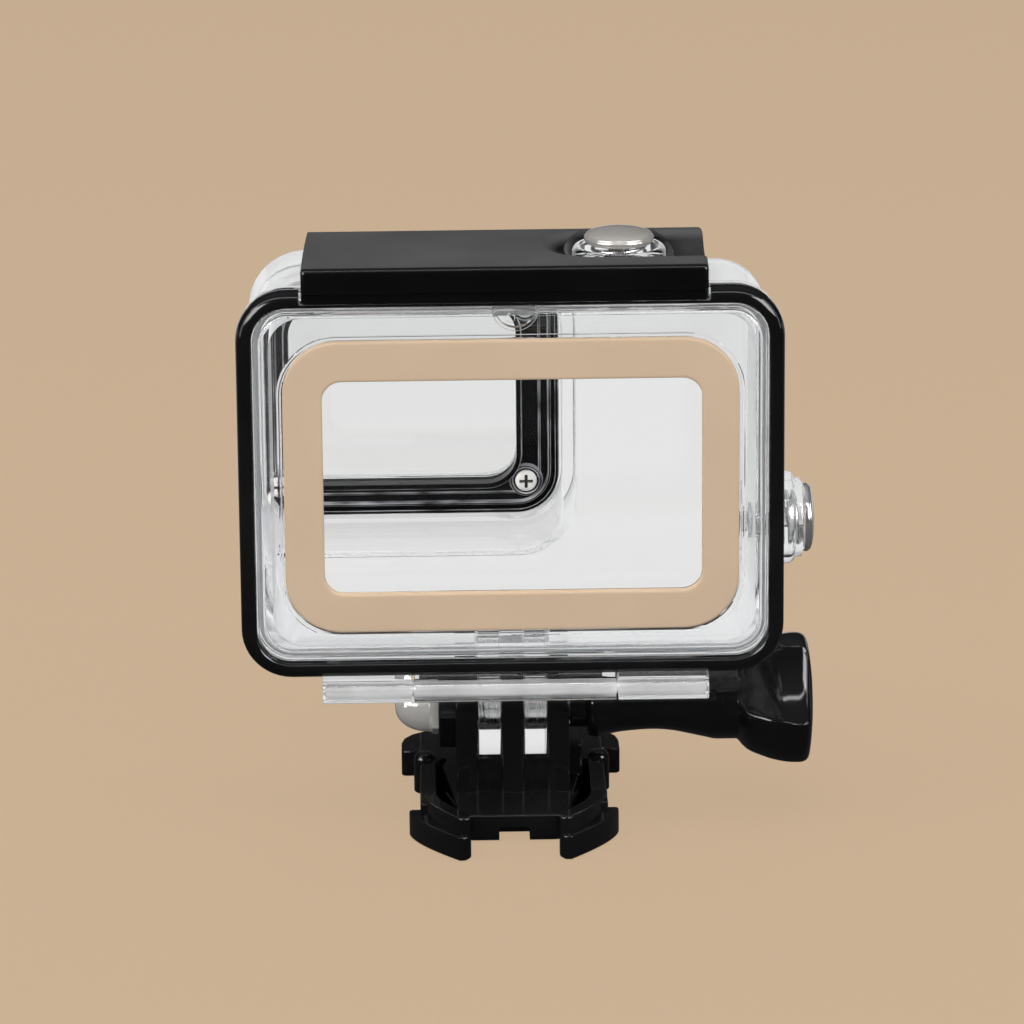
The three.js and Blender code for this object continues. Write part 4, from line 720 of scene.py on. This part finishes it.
# %% [markdown]
# ## Ring, seal, band and film
# The black ring is the strongest line of the object. Its section is rolled over at the rear, wide outside and
# narrow inside, so a lamp draws one even highlight along it. It is carried round the rim as a profile, then opened
# where the latch's lip and the hinge's barrel pass.

# %% Black ring with its rolled edge
def quarter(centre, radius, start, end, steps=6):
    """Part of a circle as a list of profile points."""
    return [tuple(p) for p in arc(centre, radius, start, end, steps)]


ring_profile = [(0.0, -13.7), *quarter((1.35, -14.65), 1.35, 180, 270, 10), *quarter((1.5, -15.4), 0.6, 270, 360),
                (2.1, -13.7)]
ring = moulding("door_ring_black", rim, ring_profile)
lip_room = prism("room", rounded_rect((26.9, 1.6), 0.4, (-0.7, 76.8), 6), -17.5, -11.5, "y", 0)
hinge_room = prism("room", rounded_rect((13.75, 2.0), 0.1, (0.25, 23.55), 3), -13.4, -10.1, "y", 0)
settle(fuse(ring, (), [lip_room, hinge_room]), "door", gloss_black, "black_rubber", "door_ring")

# %% Seal cord, window band and film
seal = moulding("door_seal_cord", rim, [(2.8 + 0.4 * math.cos(a), -11.85 + 0.44 * math.sin(a))
                                        for a in np.linspace(0, 2 * np.pi, 17)[:-1]])
settle(seal, "door", silicone, "silicone", "door_seal")


def between(share):
    """Outline that runs from the band's outer edge, at 0, to the window's edge, at 1."""
    return band(0) * (1 - share) + band_window(0) * share


half_roll = [(0.0, -15.1), (0.0, -15.95), (0.012, -16.12), (0.035, -16.19), (0.08, -16.2)]
rolls = half_roll + [(1 - share, y) for share, y in half_roll[::-1]]
window_band = skin("window_band", [lift(between(share), y, "y") for share, y in rolls], closed=True)
settle(window_band, "door", tan_band, "tan_frame", "membrane_frame")


def finish_node(name, material):
    """A CAD node whose shape is right keeps it and only gets its finish."""
    nodes[name].data.materials.clear()
    nodes[name].data.materials.append(material)


finish_node("touch_membrane", clear_film)

# %% [markdown]
# ## Latch
# One black cover hinges at the top front and hooks over the door's edge. Its top is slightly crowned, its rear
# face drops to a stepped lip, and a scoop runs out to the right round the button. The side outline is pushed
# along X; the scoop is a rounded trough turned about X.

# %% Latch cover with its scoop
crown_share = np.linspace(0, 1, 13)[:-1]
crown = np.column_stack([-16.3 + 17.5 * crown_share, 80.3 + 0.3 * crown_share + 1.2 * crown_share * (1 - crown_share)])
corner_roll = arc((-16.3, 79.6), 0.7, 180, 95, 6)
latch_outline = np.vstack([
    [[-17.0, 77.1]], corner_roll, crown, arc(LATCH_AT, 2.3, 90, -90, 28), [[-1.1, 77.1], [-14.75, 77.1]],
    [[-14.75, 75.5], [-16.65, 75.5], [-16.65, 76.75]]])
latch = prism("latch_moulding", latch_outline, -27.3, 25.9, "x", 0.6, 5)
turn = np.linspace(0.02, np.pi / 2, 40)
scoop = turned("scoop", [*((13.66 * math.sin(a), 11.35 - 13.66 * math.cos(a)) for a in turn), (13.66, 28)], "x",
               (-6.35, 92.36), 360)
hole = rod(7.3, 74, 83, SHUTTER_AT, 96, "z")
under_bar = prism("under", rounded_rect((5.3, 4.3), 0.3, (14.6, 0.7), 3), 73, 78.6, "z", 0)
boss_room = rod(6.6, 73, 78.6, SHUTTER_AT, 72, "z")
left_end = prism("end", [[-29, -18], [-27.3, -17.2], [-26.45, 3.8], [-29, 3.8]], 74, 83, "z", 0)
pockets = [prism("pocket", rounded_rect((4.7, 6.3), 0.6, (x, -7.95), 5), 75.6, 78.7, "z", 0)
           for x in (-20.8, -10.5, -0.2)]
latch_bores = [rod(LATCH_BORE, -29, -19.4, LATCH_AT, 24), rod(LATCH_BORE, 14.6, 27.4, LATCH_AT, 24)]


def lug_room(low, high):
    """Room in the barrel for a lug of the case, open below and in front so the latch can turn up."""
    low, high = low - 0.3, high + 0.3
    mouth = np.vstack([[LATCH_AT], arc(LATCH_AT, 3.8, 60, -90, 24), [[-0.5, 74.5], [-0.5, 78.3]]])
    return [rod(1.7, low, high, LATCH_AT, 40), prism("mouth", mouth, low, high, "x", 0)]


lug_rooms = [room for ends in LUGS for room in lug_room(*ends)]
fuse(latch, (), [scoop, hole, under_bar, boss_room, left_end, *pockets, *latch_bores, *lug_rooms])
settle(latch, "latch", satin_black, "satin_black", "latch_cover")

# %% [markdown]
# ## Buttons
# Each button is a plated dome on a stem. The stem passes a seal in the well's floor and is held from inside by
# a clip; a soft foot reaches the camera. The cap is turned on the real part too, so a profile spun about the axis
# is the natural way. A spring lifts the cap. It shows through the clear boss, so it is a true helix of round wire.

# %% Plated caps and their springs
def button_cap(name, axis, centre, end, ceiling, body, node, material):
    """Profile from the stem's end to the dome. Heights run down from the cap's end; the dome is a quarter ellipse
    whose edge is rolled."""
    turn = np.linspace(0, np.pi / 2, 14)[:-1]
    clip_top = ceiling - 0.15
    slot_low, stem_end = clip_top - 0.55, clip_top - 1.45
    stem = [(1.25, stem_end), (1.4, stem_end + 0.15), (1.4, slot_low), (0.9, slot_low), (0.9, clip_top + 0.1),
            (1.4, clip_top + 0.1)]
    skirt = [(1.4, -1.7), (4.1, -1.7), (4.45, -1.6), (4.6, -1.4), (4.62, -1.0), (4.55, -0.85)]
    dome = [(4.42 * math.cos(a) ** 0.9, -0.75 + 0.75 * math.sin(a)) for a in turn]
    profile = [*stem, *skirt, *dome, (0.02, 0)]
    piece = turned(name, [(r, end + h) for r, h in profile], axis, centre, 96)
    return settle(piece, body, material, "chrome", node)


button_cap("shutter_cap", "z", SHUTTER_AT, 82.1, -7.95, "shutter_press", "shutter_button", cap_plating)
button_cap("mode_cap", "x", MODE_AT, 40.7, -8.4, "mode_press", "mode_button", mode_plating)


def button_spring(name, axis, centre, node):
    """Wire of radius w wound as a helix: p(t) = R (cos t, sin t) + rise t / 2 pi, with round sections square to it. It
    fills the CAD spring's length."""
    wound, wire, curls, shortened = 3.5, 0.25, 3, 1.8
    along = "xyz".index(axis)
    low, high = (corner[along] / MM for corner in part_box(node))
    t = np.linspace(0, 2 * np.pi * curls, 32 * curls + 1)[:, None]
    height = low + wire + (high - low - 2 * wire) * t / t[-1]
    rise = (high - low - 2 * wire) / t[-1, 0]
    out = np.hstack([np.cos(t), np.sin(t), 0 * t])
    ahead = np.hstack([-wound * np.sin(t), wound * np.cos(t), rise + 0 * t])
    beside = np.cross(ahead / np.linalg.norm(ahead, axis=1)[:, None], out)
    spine = np.hstack([centre[0] + wound * np.cos(t), centre[1] + wound * np.sin(t), height])
    turn = np.linspace(0, 2 * np.pi, 12, endpoint=False)[None, :, None]
    rings = spine[:, None] + wire * (np.cos(turn) * out[:, None] + np.sin(turn) * beside[:, None])
    piece = settle(skin(name, rings[:, :, ORDER[axis]]), "case", steel, "steel", node)
    direction, anchor = np.zeros(3), np.zeros(3)
    direction[along], anchor[along] = 1, low * MM
    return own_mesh(piece)


button_spring("shutter_coil", "z", SHUTTER_AT, "shutter_spring")
button_spring("mode_coil", "x", MODE_AT, "mode_spring")


for name in ("shutter_clip", "mode_clip", "latch_pin_left", "latch_pin_right"):
    finish_node(name, steel)
for name in ("shutter_foot", "mode_foot", "shutter_seal", "mode_seal"):
    finish_node(name, seal_rubber)
print("CAD nodes finished in place")

# %% [markdown]
# ## Pin, rod, nut and thumb screw
# Bright metal ties the mount together. The rod's thread is a helix: its radius depends on the distance along
# the axis and on the angle together. The nut is a hexagon whose corners are cut by a cone, under a dome.

# %% Door pin and threaded rod
pin = turned("door_pin_steel", [(0.65, -25.1), (0.8, -24.95), (0.8, 25.55), (0.65, 25.7)], "x", (HINGE_Y, HINGE_Z), 40)
settle(pin, "case", pin_steel, "steel", "door_pin")


def threaded_rod():
    """radius(x, a) = 2.45 - 0.22 t, where t is a rounded wave of (x - pitch a / 2 pi) / pitch, faded out past the
    nut's end."""
    pitch, steps = 0.8, 48
    x = np.concatenate([np.linspace(-13.2, -2.6, 170), np.linspace(-2.4, 22, 30)])[:, None]
    angle = np.linspace(0, 2 * np.pi, steps, endpoint=False)[None, :]
    wave = 0.5 - 0.5 * np.cos(2 * np.pi * (x / pitch - angle / (2 * np.pi)))
    fade = np.clip((-3.1 - x) / 0.6, 0, 1) * np.clip((x + 13.2) / 0.4, 0, 1)
    radius = 2.45 - 0.22 * wave * fade - 0.3 * np.clip((-12.8 - x) / 0.4, 0, 1)
    return skin("mount_rod", np.stack([x + 0 * angle, radius * np.cos(angle), TILT_Z + radius * np.sin(angle)], -1))


settle(threaded_rod(), "thumb_screw", steel, "steel", "screw_rod")


# %% Acorn nut
def acorn():
    """Across the flats the radius is a / cos(angle from the flat's middle); a cone cuts the corners near the dome,
    and the dome is a quarter ellipse."""
    steps = 144
    angle = np.linspace(0, 2 * np.pi, steps, endpoint=False)
    flat = 4.3 * math.cos(math.pi / 6)
    hexagon = flat / np.cos((angle + np.pi / 6) % (np.pi / 3) - np.pi / 6)
    rows = [(-7.3, 4.0), (-7.45, 4.3), (-7.6, 4.5), (-10.6, 4.5), (-10.9, 4.15), (-11.2, 3.72)]
    grid = [(x, np.minimum(hexagon, limit)) for x, limit in rows]
    turn = np.linspace(0, np.pi / 2, 14)[:-1]
    grid += [(-11.25 - 4.6 * math.sin(a), np.full(steps, 3.68 * math.cos(a) ** 0.85)) for a in turn]
    grid += [(-15.85, np.full(steps, 0.02))]
    rings = np.stack([np.column_stack([np.full(steps, x), r * np.cos(angle), TILT_Z + r * np.sin(angle)])
                      for x, r in grid])
    return skin("mount_nut", rings)


nut = fuse(acorn(), (), [rod(ROD_BORE, -13.5, -5.8, (0, TILT_Z), 48)])
settle(nut, "buckle", nut_plating, "chrome", "acorn_nut")


# %% Thumb screw with three lobes
def through(table, x):
    """Smooth curves through a table of rows (x, value, ...): cubics whose slope at a row is the mean of the slopes
    beside it, or zero where those differ in sign."""
    table = np.asarray(table, float)
    places, values = table[:, 0], table[:, 1:]
    slope = np.diff(values, axis=0) / np.diff(places)[:, None]
    inner = np.where(slope[1:] * slope[:-1] > 0, (slope[1:] + slope[:-1]) / 2, 0)
    slopes = np.vstack([slope[:1], inner, slope[-1:]])
    k = np.clip(np.searchsorted(places, x, side="right") - 1, 0, len(places) - 2)
    span = (places[k + 1] - places[k])[:, None]
    t = (np.asarray(x)[:, None] - places[k][:, None]) / span
    return (values[k] * (1 + 2 * t) * (1 - t) ** 2 + values[k + 1] * t * t * (3 - 2 * t)
            + span * (slopes[k] * t * (1 - t) ** 2 - slopes[k + 1] * t * t * (1 - t)))


def thumb_screw():
    """A round body with three hollows. At an angle b from a valley's middle, a hollow of radius R about a far axis D
    leaves D cos b - sqrt(R^2 - D^2 sin^2 b). The section is the softened minimum of that and the lobe's radius. Each
    row holds a place on the axis, the lobes' radius and the valleys'."""
    steps, hollow, soft = 240, 15.5, 0.1
    angle = np.linspace(0, 2 * np.pi, steps, endpoint=False)
    off = (angle - np.radians(86)) % (2 * np.pi / 3) - np.pi / 3
    neck = [(7.9, 3.2, 3.3), (8.0, 3.3, 3.4), (10.1, 3.3, 3.4), (10.3, 4.25, 4.35), (10.7, 4.55, 4.65),
            (11.4, 4.7, 4.8), (12.2, 4.55, 4.65), (14.3, 4.1, 4.2), (16.1, 3.9, 4.0), (19.0, 3.75, 3.9),
            (21.8, 3.95, 4.1), (23.8, 4.35, 4.5), (26.0, 4.84, 5.0), (27.9, 5.2, 5.35), (30.5, 5.2, 5.35)]
    head = [(30.75, 5.4, 5.3), (31.1, 6.0, 5.4), (31.9, 6.95, 5.65), (33.7, 7.95, 6.05), (35.5, 8.7, 6.3),
            (37.4, 9.12, 6.4), (38.6, 9.2, 6.4), (39.4, 9.08, 6.35), (39.85, 8.8, 6.2), (40.1, 8.4, 6.05),
            (40.27, 7.85, 5.8), (40.45, 6.8, 5.4), (40.6, 5.6, 4.9), (40.7, 4.6, 4.5)]
    rows = neck + head
    x = np.unique(np.concatenate([[row[0] for row in rows], np.linspace(11.4, 30.4, 60), np.linspace(30.9, 39.8, 48)]))
    rings = []
    for place, (lobe, valley) in zip(x, through(rows, x)):
        far = hollow + valley
        scoop_edge = far * np.cos(off) - np.sqrt(np.maximum(hollow ** 2 - (far * np.sin(off)) ** 2, 0.01))
        radius = -soft * np.logaddexp(-lobe / soft, -scoop_edge / soft)
        rings.append(np.column_stack([np.full(steps, place), radius * np.cos(angle), TILT_Z + radius * np.sin(angle)]))
    return skin("thumb_screw_head", rings)


knob_cuts = [rod(ROD_BORE, 6.4, 22.3, (0, TILT_Z), 48),
             turned("cup", [(3.2, 39.7), (3.4, 39.9), (3.4, 42)], "x", (0, TILT_Z), 64)]
settle(fuse(thumb_screw(), (), knob_cuts), "thumb_screw", gloss_black, "black_plastic", "thumb_knob")

# %% [markdown]
# ## Quick-release buckle
# The buckle slides into a rail: ears in front, two springy arms with finger wings behind. It is a set of flat
# plates with rolled edges, each drawn in plan or from the side and pushed through its thickness.

# %% Buckle base with its prongs and nut pocket
def mirrored(points):
    """Closed outline from its right half, listed from front to rear."""
    right = np.asarray(points, float)
    return np.vstack([right, right[::-1] * [-1, 1]])


ARM_AT = (10.9, 5)
FRONT_PLAN = [[9.4, 20], [12.6, 16.8], [12.6, 6.7], [9.7, 6.7], [9.7, 3.3], [8.16, -8.5]]
base = prism("buckle_moulding", mirrored(FRONT_PLAN), 0, 4.6, "z", 0.3)
tail = prism("tail", mirrored([[8.24, -7.9], *arc((5.4, -12.8), 2.2, 0, -90, 10)]), 0, 4.6, "z", 0.35, 5, 1.0)
# The tail gets lower towards the rear: z' = z (1 - 0.174 s), where s runs from 0 at y -8.2 to 1 at y -15
points = np.array([vertex.co for vertex in tail.data.vertices])
points[:, 2] *= 1 - 0.174 * (-8.2 * MM - points[:, 1]) / (6.8 * MM)
tail.data.vertices.foreach_set("co", points.ravel())
ear = np.array([[12.1, 11.5], [14.7, 11.5], [15.1, 11.9], [15.1, 15.2], [14.75, 16.9], [13.7, 18.5], [12.2, 19.6],
                [10.6, 20], [9.4, 20], [9.4, 11.5]])
cradle = arc((0, TILT_Z), 7.9, 262, 221, 20)
bed = [[-7.6, 4.1], [10.7, 4.1], [8.2, 5.6], *cradle, [-7.6, cradle[-1][1]]]
parts = [tail, *(prism("ear", ear * flip, 0, 3.8, "z", 0.35) for flip in ([1, 1], [-1, 1])),
         prism("bed", bed, -7.6, 7.6, "x", 0.2),
         prism("rib", rounded_rect((1.25, 1.2), 0.4, (8.35, 0), 4), 4.1, 8.9, "z", 0.3),
         *(prong(2 * k * PITCH, 8.2, 4.1, 2.9) for k in (-1, 0, 1)),
         prism("boss", arc((0, TILT_Z), 5.9, 0, 300, 5), -10.0, -7.1, "x", 0.35)]
pocket = prism("pocket", arc((0, TILT_Z), 4.6, 0, 300, 5), -11.5, -7.2, "x", 0)
sockets = [rod(2.0, -1.5, 6.5, (side * ARM_AT[0], ARM_AT[1]), 48, "z") for side in (1, -1)]
web = prism("web", rounded_rect((10.5, 9.0), 1.5, (0, -1.6), 4), 0, 0.3, "z", 0.05)
notch_cut = prism("notch", rounded_rect((2.05, 3.1), 0.4, (0, -1.0), 5), -17, -11, "y", 0)
tilt_bore = rod(TILT_BORE, -40, 40, (0, TILT_Z), 64)
fuse(fuse(base, parts, [*sockets, notch_cut, pocket, tilt_bore]), [web])
settle(base, "buckle", gloss_black, "black_plastic", "buckle_base")


# %% Squeeze arms with curved finger wings
def bend(start, control, end, steps=16):
    """Points on p(t) = (1 - t)^2 start + 2 t (1 - t) control + t^2 end."""
    t = np.linspace(0, 1, steps + 1)[:, None]
    start, control, end = (np.array(point, float) for point in (start, control, end))
    return (1 - t) ** 2 * start + 2 * t * (1 - t) * control + t * t * end


def squeeze_arm(side, name, body, node):
    """Knuckle, slim bar, and a wing in two heights: a tall wall that sweeps round the rear corner, and a low pad
    outside it whose flat front end catches the mount. A domed shoulder stands on the knuckle."""
    flip = [side, 1]
    bar = np.array([[10.9, 5], [12.5, 5], [12.6, -14], [10.4, -14], [10.4, 5]])
    outside = bend((12.6, -11), (12.2, -16.2), (7.2, -21.6))
    inside = bend((10.4, -11), (10.2, -15.2), (5.9, -19.6))
    middle = bend((11.4, -11.6), (11.2, -15.8), (6.8, -20.6))
    wing = np.vstack([outside, [[6.5, -21.6], [6.05, -21.3], [5.9, -20.8]], inside[::-1]])
    pad_side = bend((14.1, -12), (13.6, -15.6), (7.5, -22.1))
    pad_front, pad_rear = [[12.1, -10.9], [13.8, -10.9], [14.1, -11.2]], [[6.7, -22.05], [6.3, -21.7]]
    pad = np.vstack([pad_front, pad_side, pad_rear, middle[::-1]])
    arm = turned(name, [(1.55, 0.4), (1.7, 0.55), (1.7, 5.05), (1.55, 5.2)], "z", (side * ARM_AT[0], ARM_AT[1]), 40)
    shoulder = [(1.35, 0.4), (1.5, 0.55), (1.5, 5.0), (1.42, 5.4), (1.18, 5.75), (0.85, 5.95), (0.4, 6.05)]
    parts = [prism("bar", bar * flip, 0.4, 5.2, "z", 0.2), prism("wing", wing * flip, 0, 5.9, "z", 0.3),
             prism("pad", pad * flip, 0, 3.4, "z", 0.3), turned("shoulder", shoulder, "z", (side * 11.9, 4.6), 40)]
    return settle(fuse(arm, parts), body, gloss_black, "black_plastic", node)


squeeze_arm(1, "arm_right_moulding", "arm_right", "squeeze_arm_right")
squeeze_arm(-1, "arm_left_moulding", "arm_left", "squeeze_arm_left")

# %% [markdown]
# ## Stage and light
# The photograph has one even tan ground. The floor is that colour to the camera, while clear plastic sees a pale
# ground and metal a darker one, as they do among a studio's cards. The large softbox above and the wide fill in
# front only light the object: mirrored in black gloss they would be grey windows. A long strip overhead, a strip
# at each side and a card at each front corner draw the highlights on the ring, the latch and the thumb screw.

# %% Floor and world
def glow(tree, colour):
    """Light of a plain or linked colour at strength 1."""
    return plain(tree, "ShaderNodeEmission", colour)


def grey(level):
    """A colour of three equal parts."""
    return (level,) * 3


PAST_FRONT, PAST_BEHIND = 0.56, 0.82


def stage_floor():
    """Wide plane just under the buckle. Camera rays see the tan colour with the object's shadow in it. Rays that come
    through clear plastic see a pale ground, greyer in front of the object. Mirrored rays see a dark ground that turns
    pale behind it, and all others a grey one."""
    size, below, tan = 6.0, -0.0001, (0.575, 0.427, 0.290)
    corners = np.array([(-1, -1), (1, -1), (1, 1), (-1, 1)]) * size
    mesh = bpy.data.meshes.new("ground")
    mesh.from_pydata([(x, y, below) for x, y in corners], [], [(0, 1, 2, 3)])
    ground = bpy.data.objects.new("ground", mesh)
    bpy.context.scene.collection.objects.link(ground)
    material = bpy.data.materials.new("tan_ground")
    material.use_nodes = True
    tree = material.node_tree
    beyond = coordinates(tree)["Y"]
    seen = pick(tree, 0.1, glow(tree, tan), plain(tree, "ShaderNodeBsdfDiffuse", tan))
    mirrored = glow(tree, tint(tree, remap(tree, beyond, 0, 1, 0.06, 0.2), (0.055, 0.054, 0.053), grey(0.6)))
    other = pick(tree, light_path(tree, "Is Glossy Ray"), plain(tree, "ShaderNodeBsdfDiffuse", grey(0.2)), mirrored)
    past_case = glow(tree, tint(tree, remap(tree, beyond, 0, 1, -0.25, -0.03), grey(PAST_FRONT), grey(PAST_BEHIND)))
    through = pick(tree, light_path(tree, "Is Transmission Ray"), other, past_case)
    tree.links.new(pick(tree, light_path(tree, "Is Camera Ray"), through, seen),
                   tree.nodes["Material Output"].inputs["Surface"])
    mesh.materials.append(material)


def studio_world():
    """Dome of light, pale overhead and behind, and dim in front. Mirrored rays see it dark, so black gloss stays
    black, and rays that come through clear plastic see the floor's pale greys."""
    world = bpy.data.worlds.new("studio")
    bpy.context.scene.world = world
    world.use_nodes = True
    tree = world.node_tree
    _, y, z = coordinates(tree, "Generated")
    behind = add(tree, remap(tree, y, 0.0, 0.06, 0.4, 0.95), remap(tree, z, 0.0, 1.0, 0.05, 0.28), "MULTIPLY")
    pale = add(tree, remap(tree, z, 0.0, 1.0, 0.40, 0.95), behind, "MAXIMUM")
    background = tree.nodes["Background"]
    tree.links.new(tint(tree, pale, (0.03, 0.03, 0.032), (0.72, 0.73, 0.745)), background.inputs["Color"])
    past_case = glow(tree, tint(tree, remap(tree, y, 0, 1, -0.6, -0.1), grey(PAST_FRONT), grey(PAST_BEHIND)))
    mirrored = glow(tree, tint(tree, pale, (0.02, 0.02, 0.021), (0.24, 0.243, 0.248)))
    open_air = pick(tree, light_path(tree, "Is Glossy Ray"), background.outputs[0], mirrored)
    tree.links.new(pick(tree, light_path(tree, "Is Transmission Ray"), open_air, past_case),
                   tree.nodes["World Output"].inputs["Surface"])


stage_floor()
studio_world()
print("greys that clear plastic sees, in front and behind", PAST_FRONT, PAST_BEHIND)


# %% Lamps
def softbox(name, place, size, watts, unseen=None):
    """Rectangular area lamp at a place in metres, turned to the object's middle. Clear plastic never shows it, and
    the kind of ray given as unseen doesn't meet it either."""
    lamp = bpy.data.lights.new(name, "AREA")
    lamp.shape, lamp.size, lamp.size_y, lamp.energy = "RECTANGLE", *size, watts
    lamp_object = bpy.data.objects.new(name, lamp)
    lamp_object.location = place
    lamp_object.rotation_euler = (Vector((0, 0, 0.045)) - Vector(place)).to_track_quat("-Z", "Y").to_euler()
    lamp_object.visible_transmission = False
    if unseen:
        setattr(lamp_object, f"visible_{unseen}", False)
    bpy.context.scene.collection.objects.link(lamp_object)


softbox("top", (-0.05, 0.02, 0.62), (0.9, 0.6), 1.7, "glossy")
softbox("long_strip", (-0.1, -0.42, 0.82), (2.2, 0.06), 5.4)
softbox("left_strip", (-0.55, -0.2, 0.22), (0.12, 0.5), 1.0)
softbox("right_strip", (0.55, -0.15, 0.25), (0.12, 0.5), 0.7)
softbox("left_card", (-0.55, -0.52, 0.38), (0.42, 0.42), 9.0, "diffuse")
softbox("right_card", (0.55, -0.52, 0.38), (0.42, 0.42), 9.0, "diffuse")
softbox("front_fill", (0.1, -0.9, 0.35), (1.4, 0.7), 4.7, "glossy")
print("lamps", len(bpy.data.lights), "with", round(sum(lamp.energy for lamp in bpy.data.lights), 1), "watts")

# %% [markdown]
# ## Camera
# The photograph was taken through a long lens, about 17 degrees above the door. The place below was fitted to
# points on the rim, the latch and the prongs. The small extra dip sets the object a little above the middle.

# %% Camera at the photograph's place
DISTANCE, SCALE = 0.770, 7.6
tilt_down, turn_left, roll, dip = (math.radians(v) for v in (17.0, -1.0, 0.5, 0.2546))
aim_point = Vector((0, -0.016, 0.0503))


def view_axes(down):
    """Right, up and forward directions for a camera turned about Z and then tipped down."""
    right = Vector((math.cos(turn_left), math.sin(turn_left), 0))
    ahead = Vector((-math.sin(turn_left) * math.cos(down), math.cos(turn_left) * math.cos(down), -math.sin(down)))
    return right, right.cross(ahead), ahead


_, _, toward = view_axes(tilt_down)
right, up, ahead = view_axes(tilt_down + dip)
across = right * math.cos(roll) - up * math.sin(roll)
upward = right * math.sin(roll) + up * math.cos(roll)
camera_data = bpy.data.cameras.new("camera")
camera_data.sensor_width = 36
camera_data.lens = SCALE * 1000 * DISTANCE / 1024 * 36
camera = bpy.data.objects.new("camera", camera_data)
turn_matrix = Matrix((across, upward, -ahead)).transposed()
camera.matrix_world = Matrix.Translation(aim_point - toward * DISTANCE) @ turn_matrix.to_4x4()
bpy.context.scene.collection.objects.link(camera)
bpy.context.scene.camera = camera
print("lens mm", round(camera_data.lens, 1))

# %% Colour and light paths
scene = bpy.context.scene
scene.view_settings.view_transform = "Standard"
scene.cycles.max_bounces = 24
scene.cycles.transmission_bounces = 24
scene.cycles.transparent_max_bounces = 24
print("view", scene.view_settings.view_transform, "and bounces", scene.cycles.max_bounces)
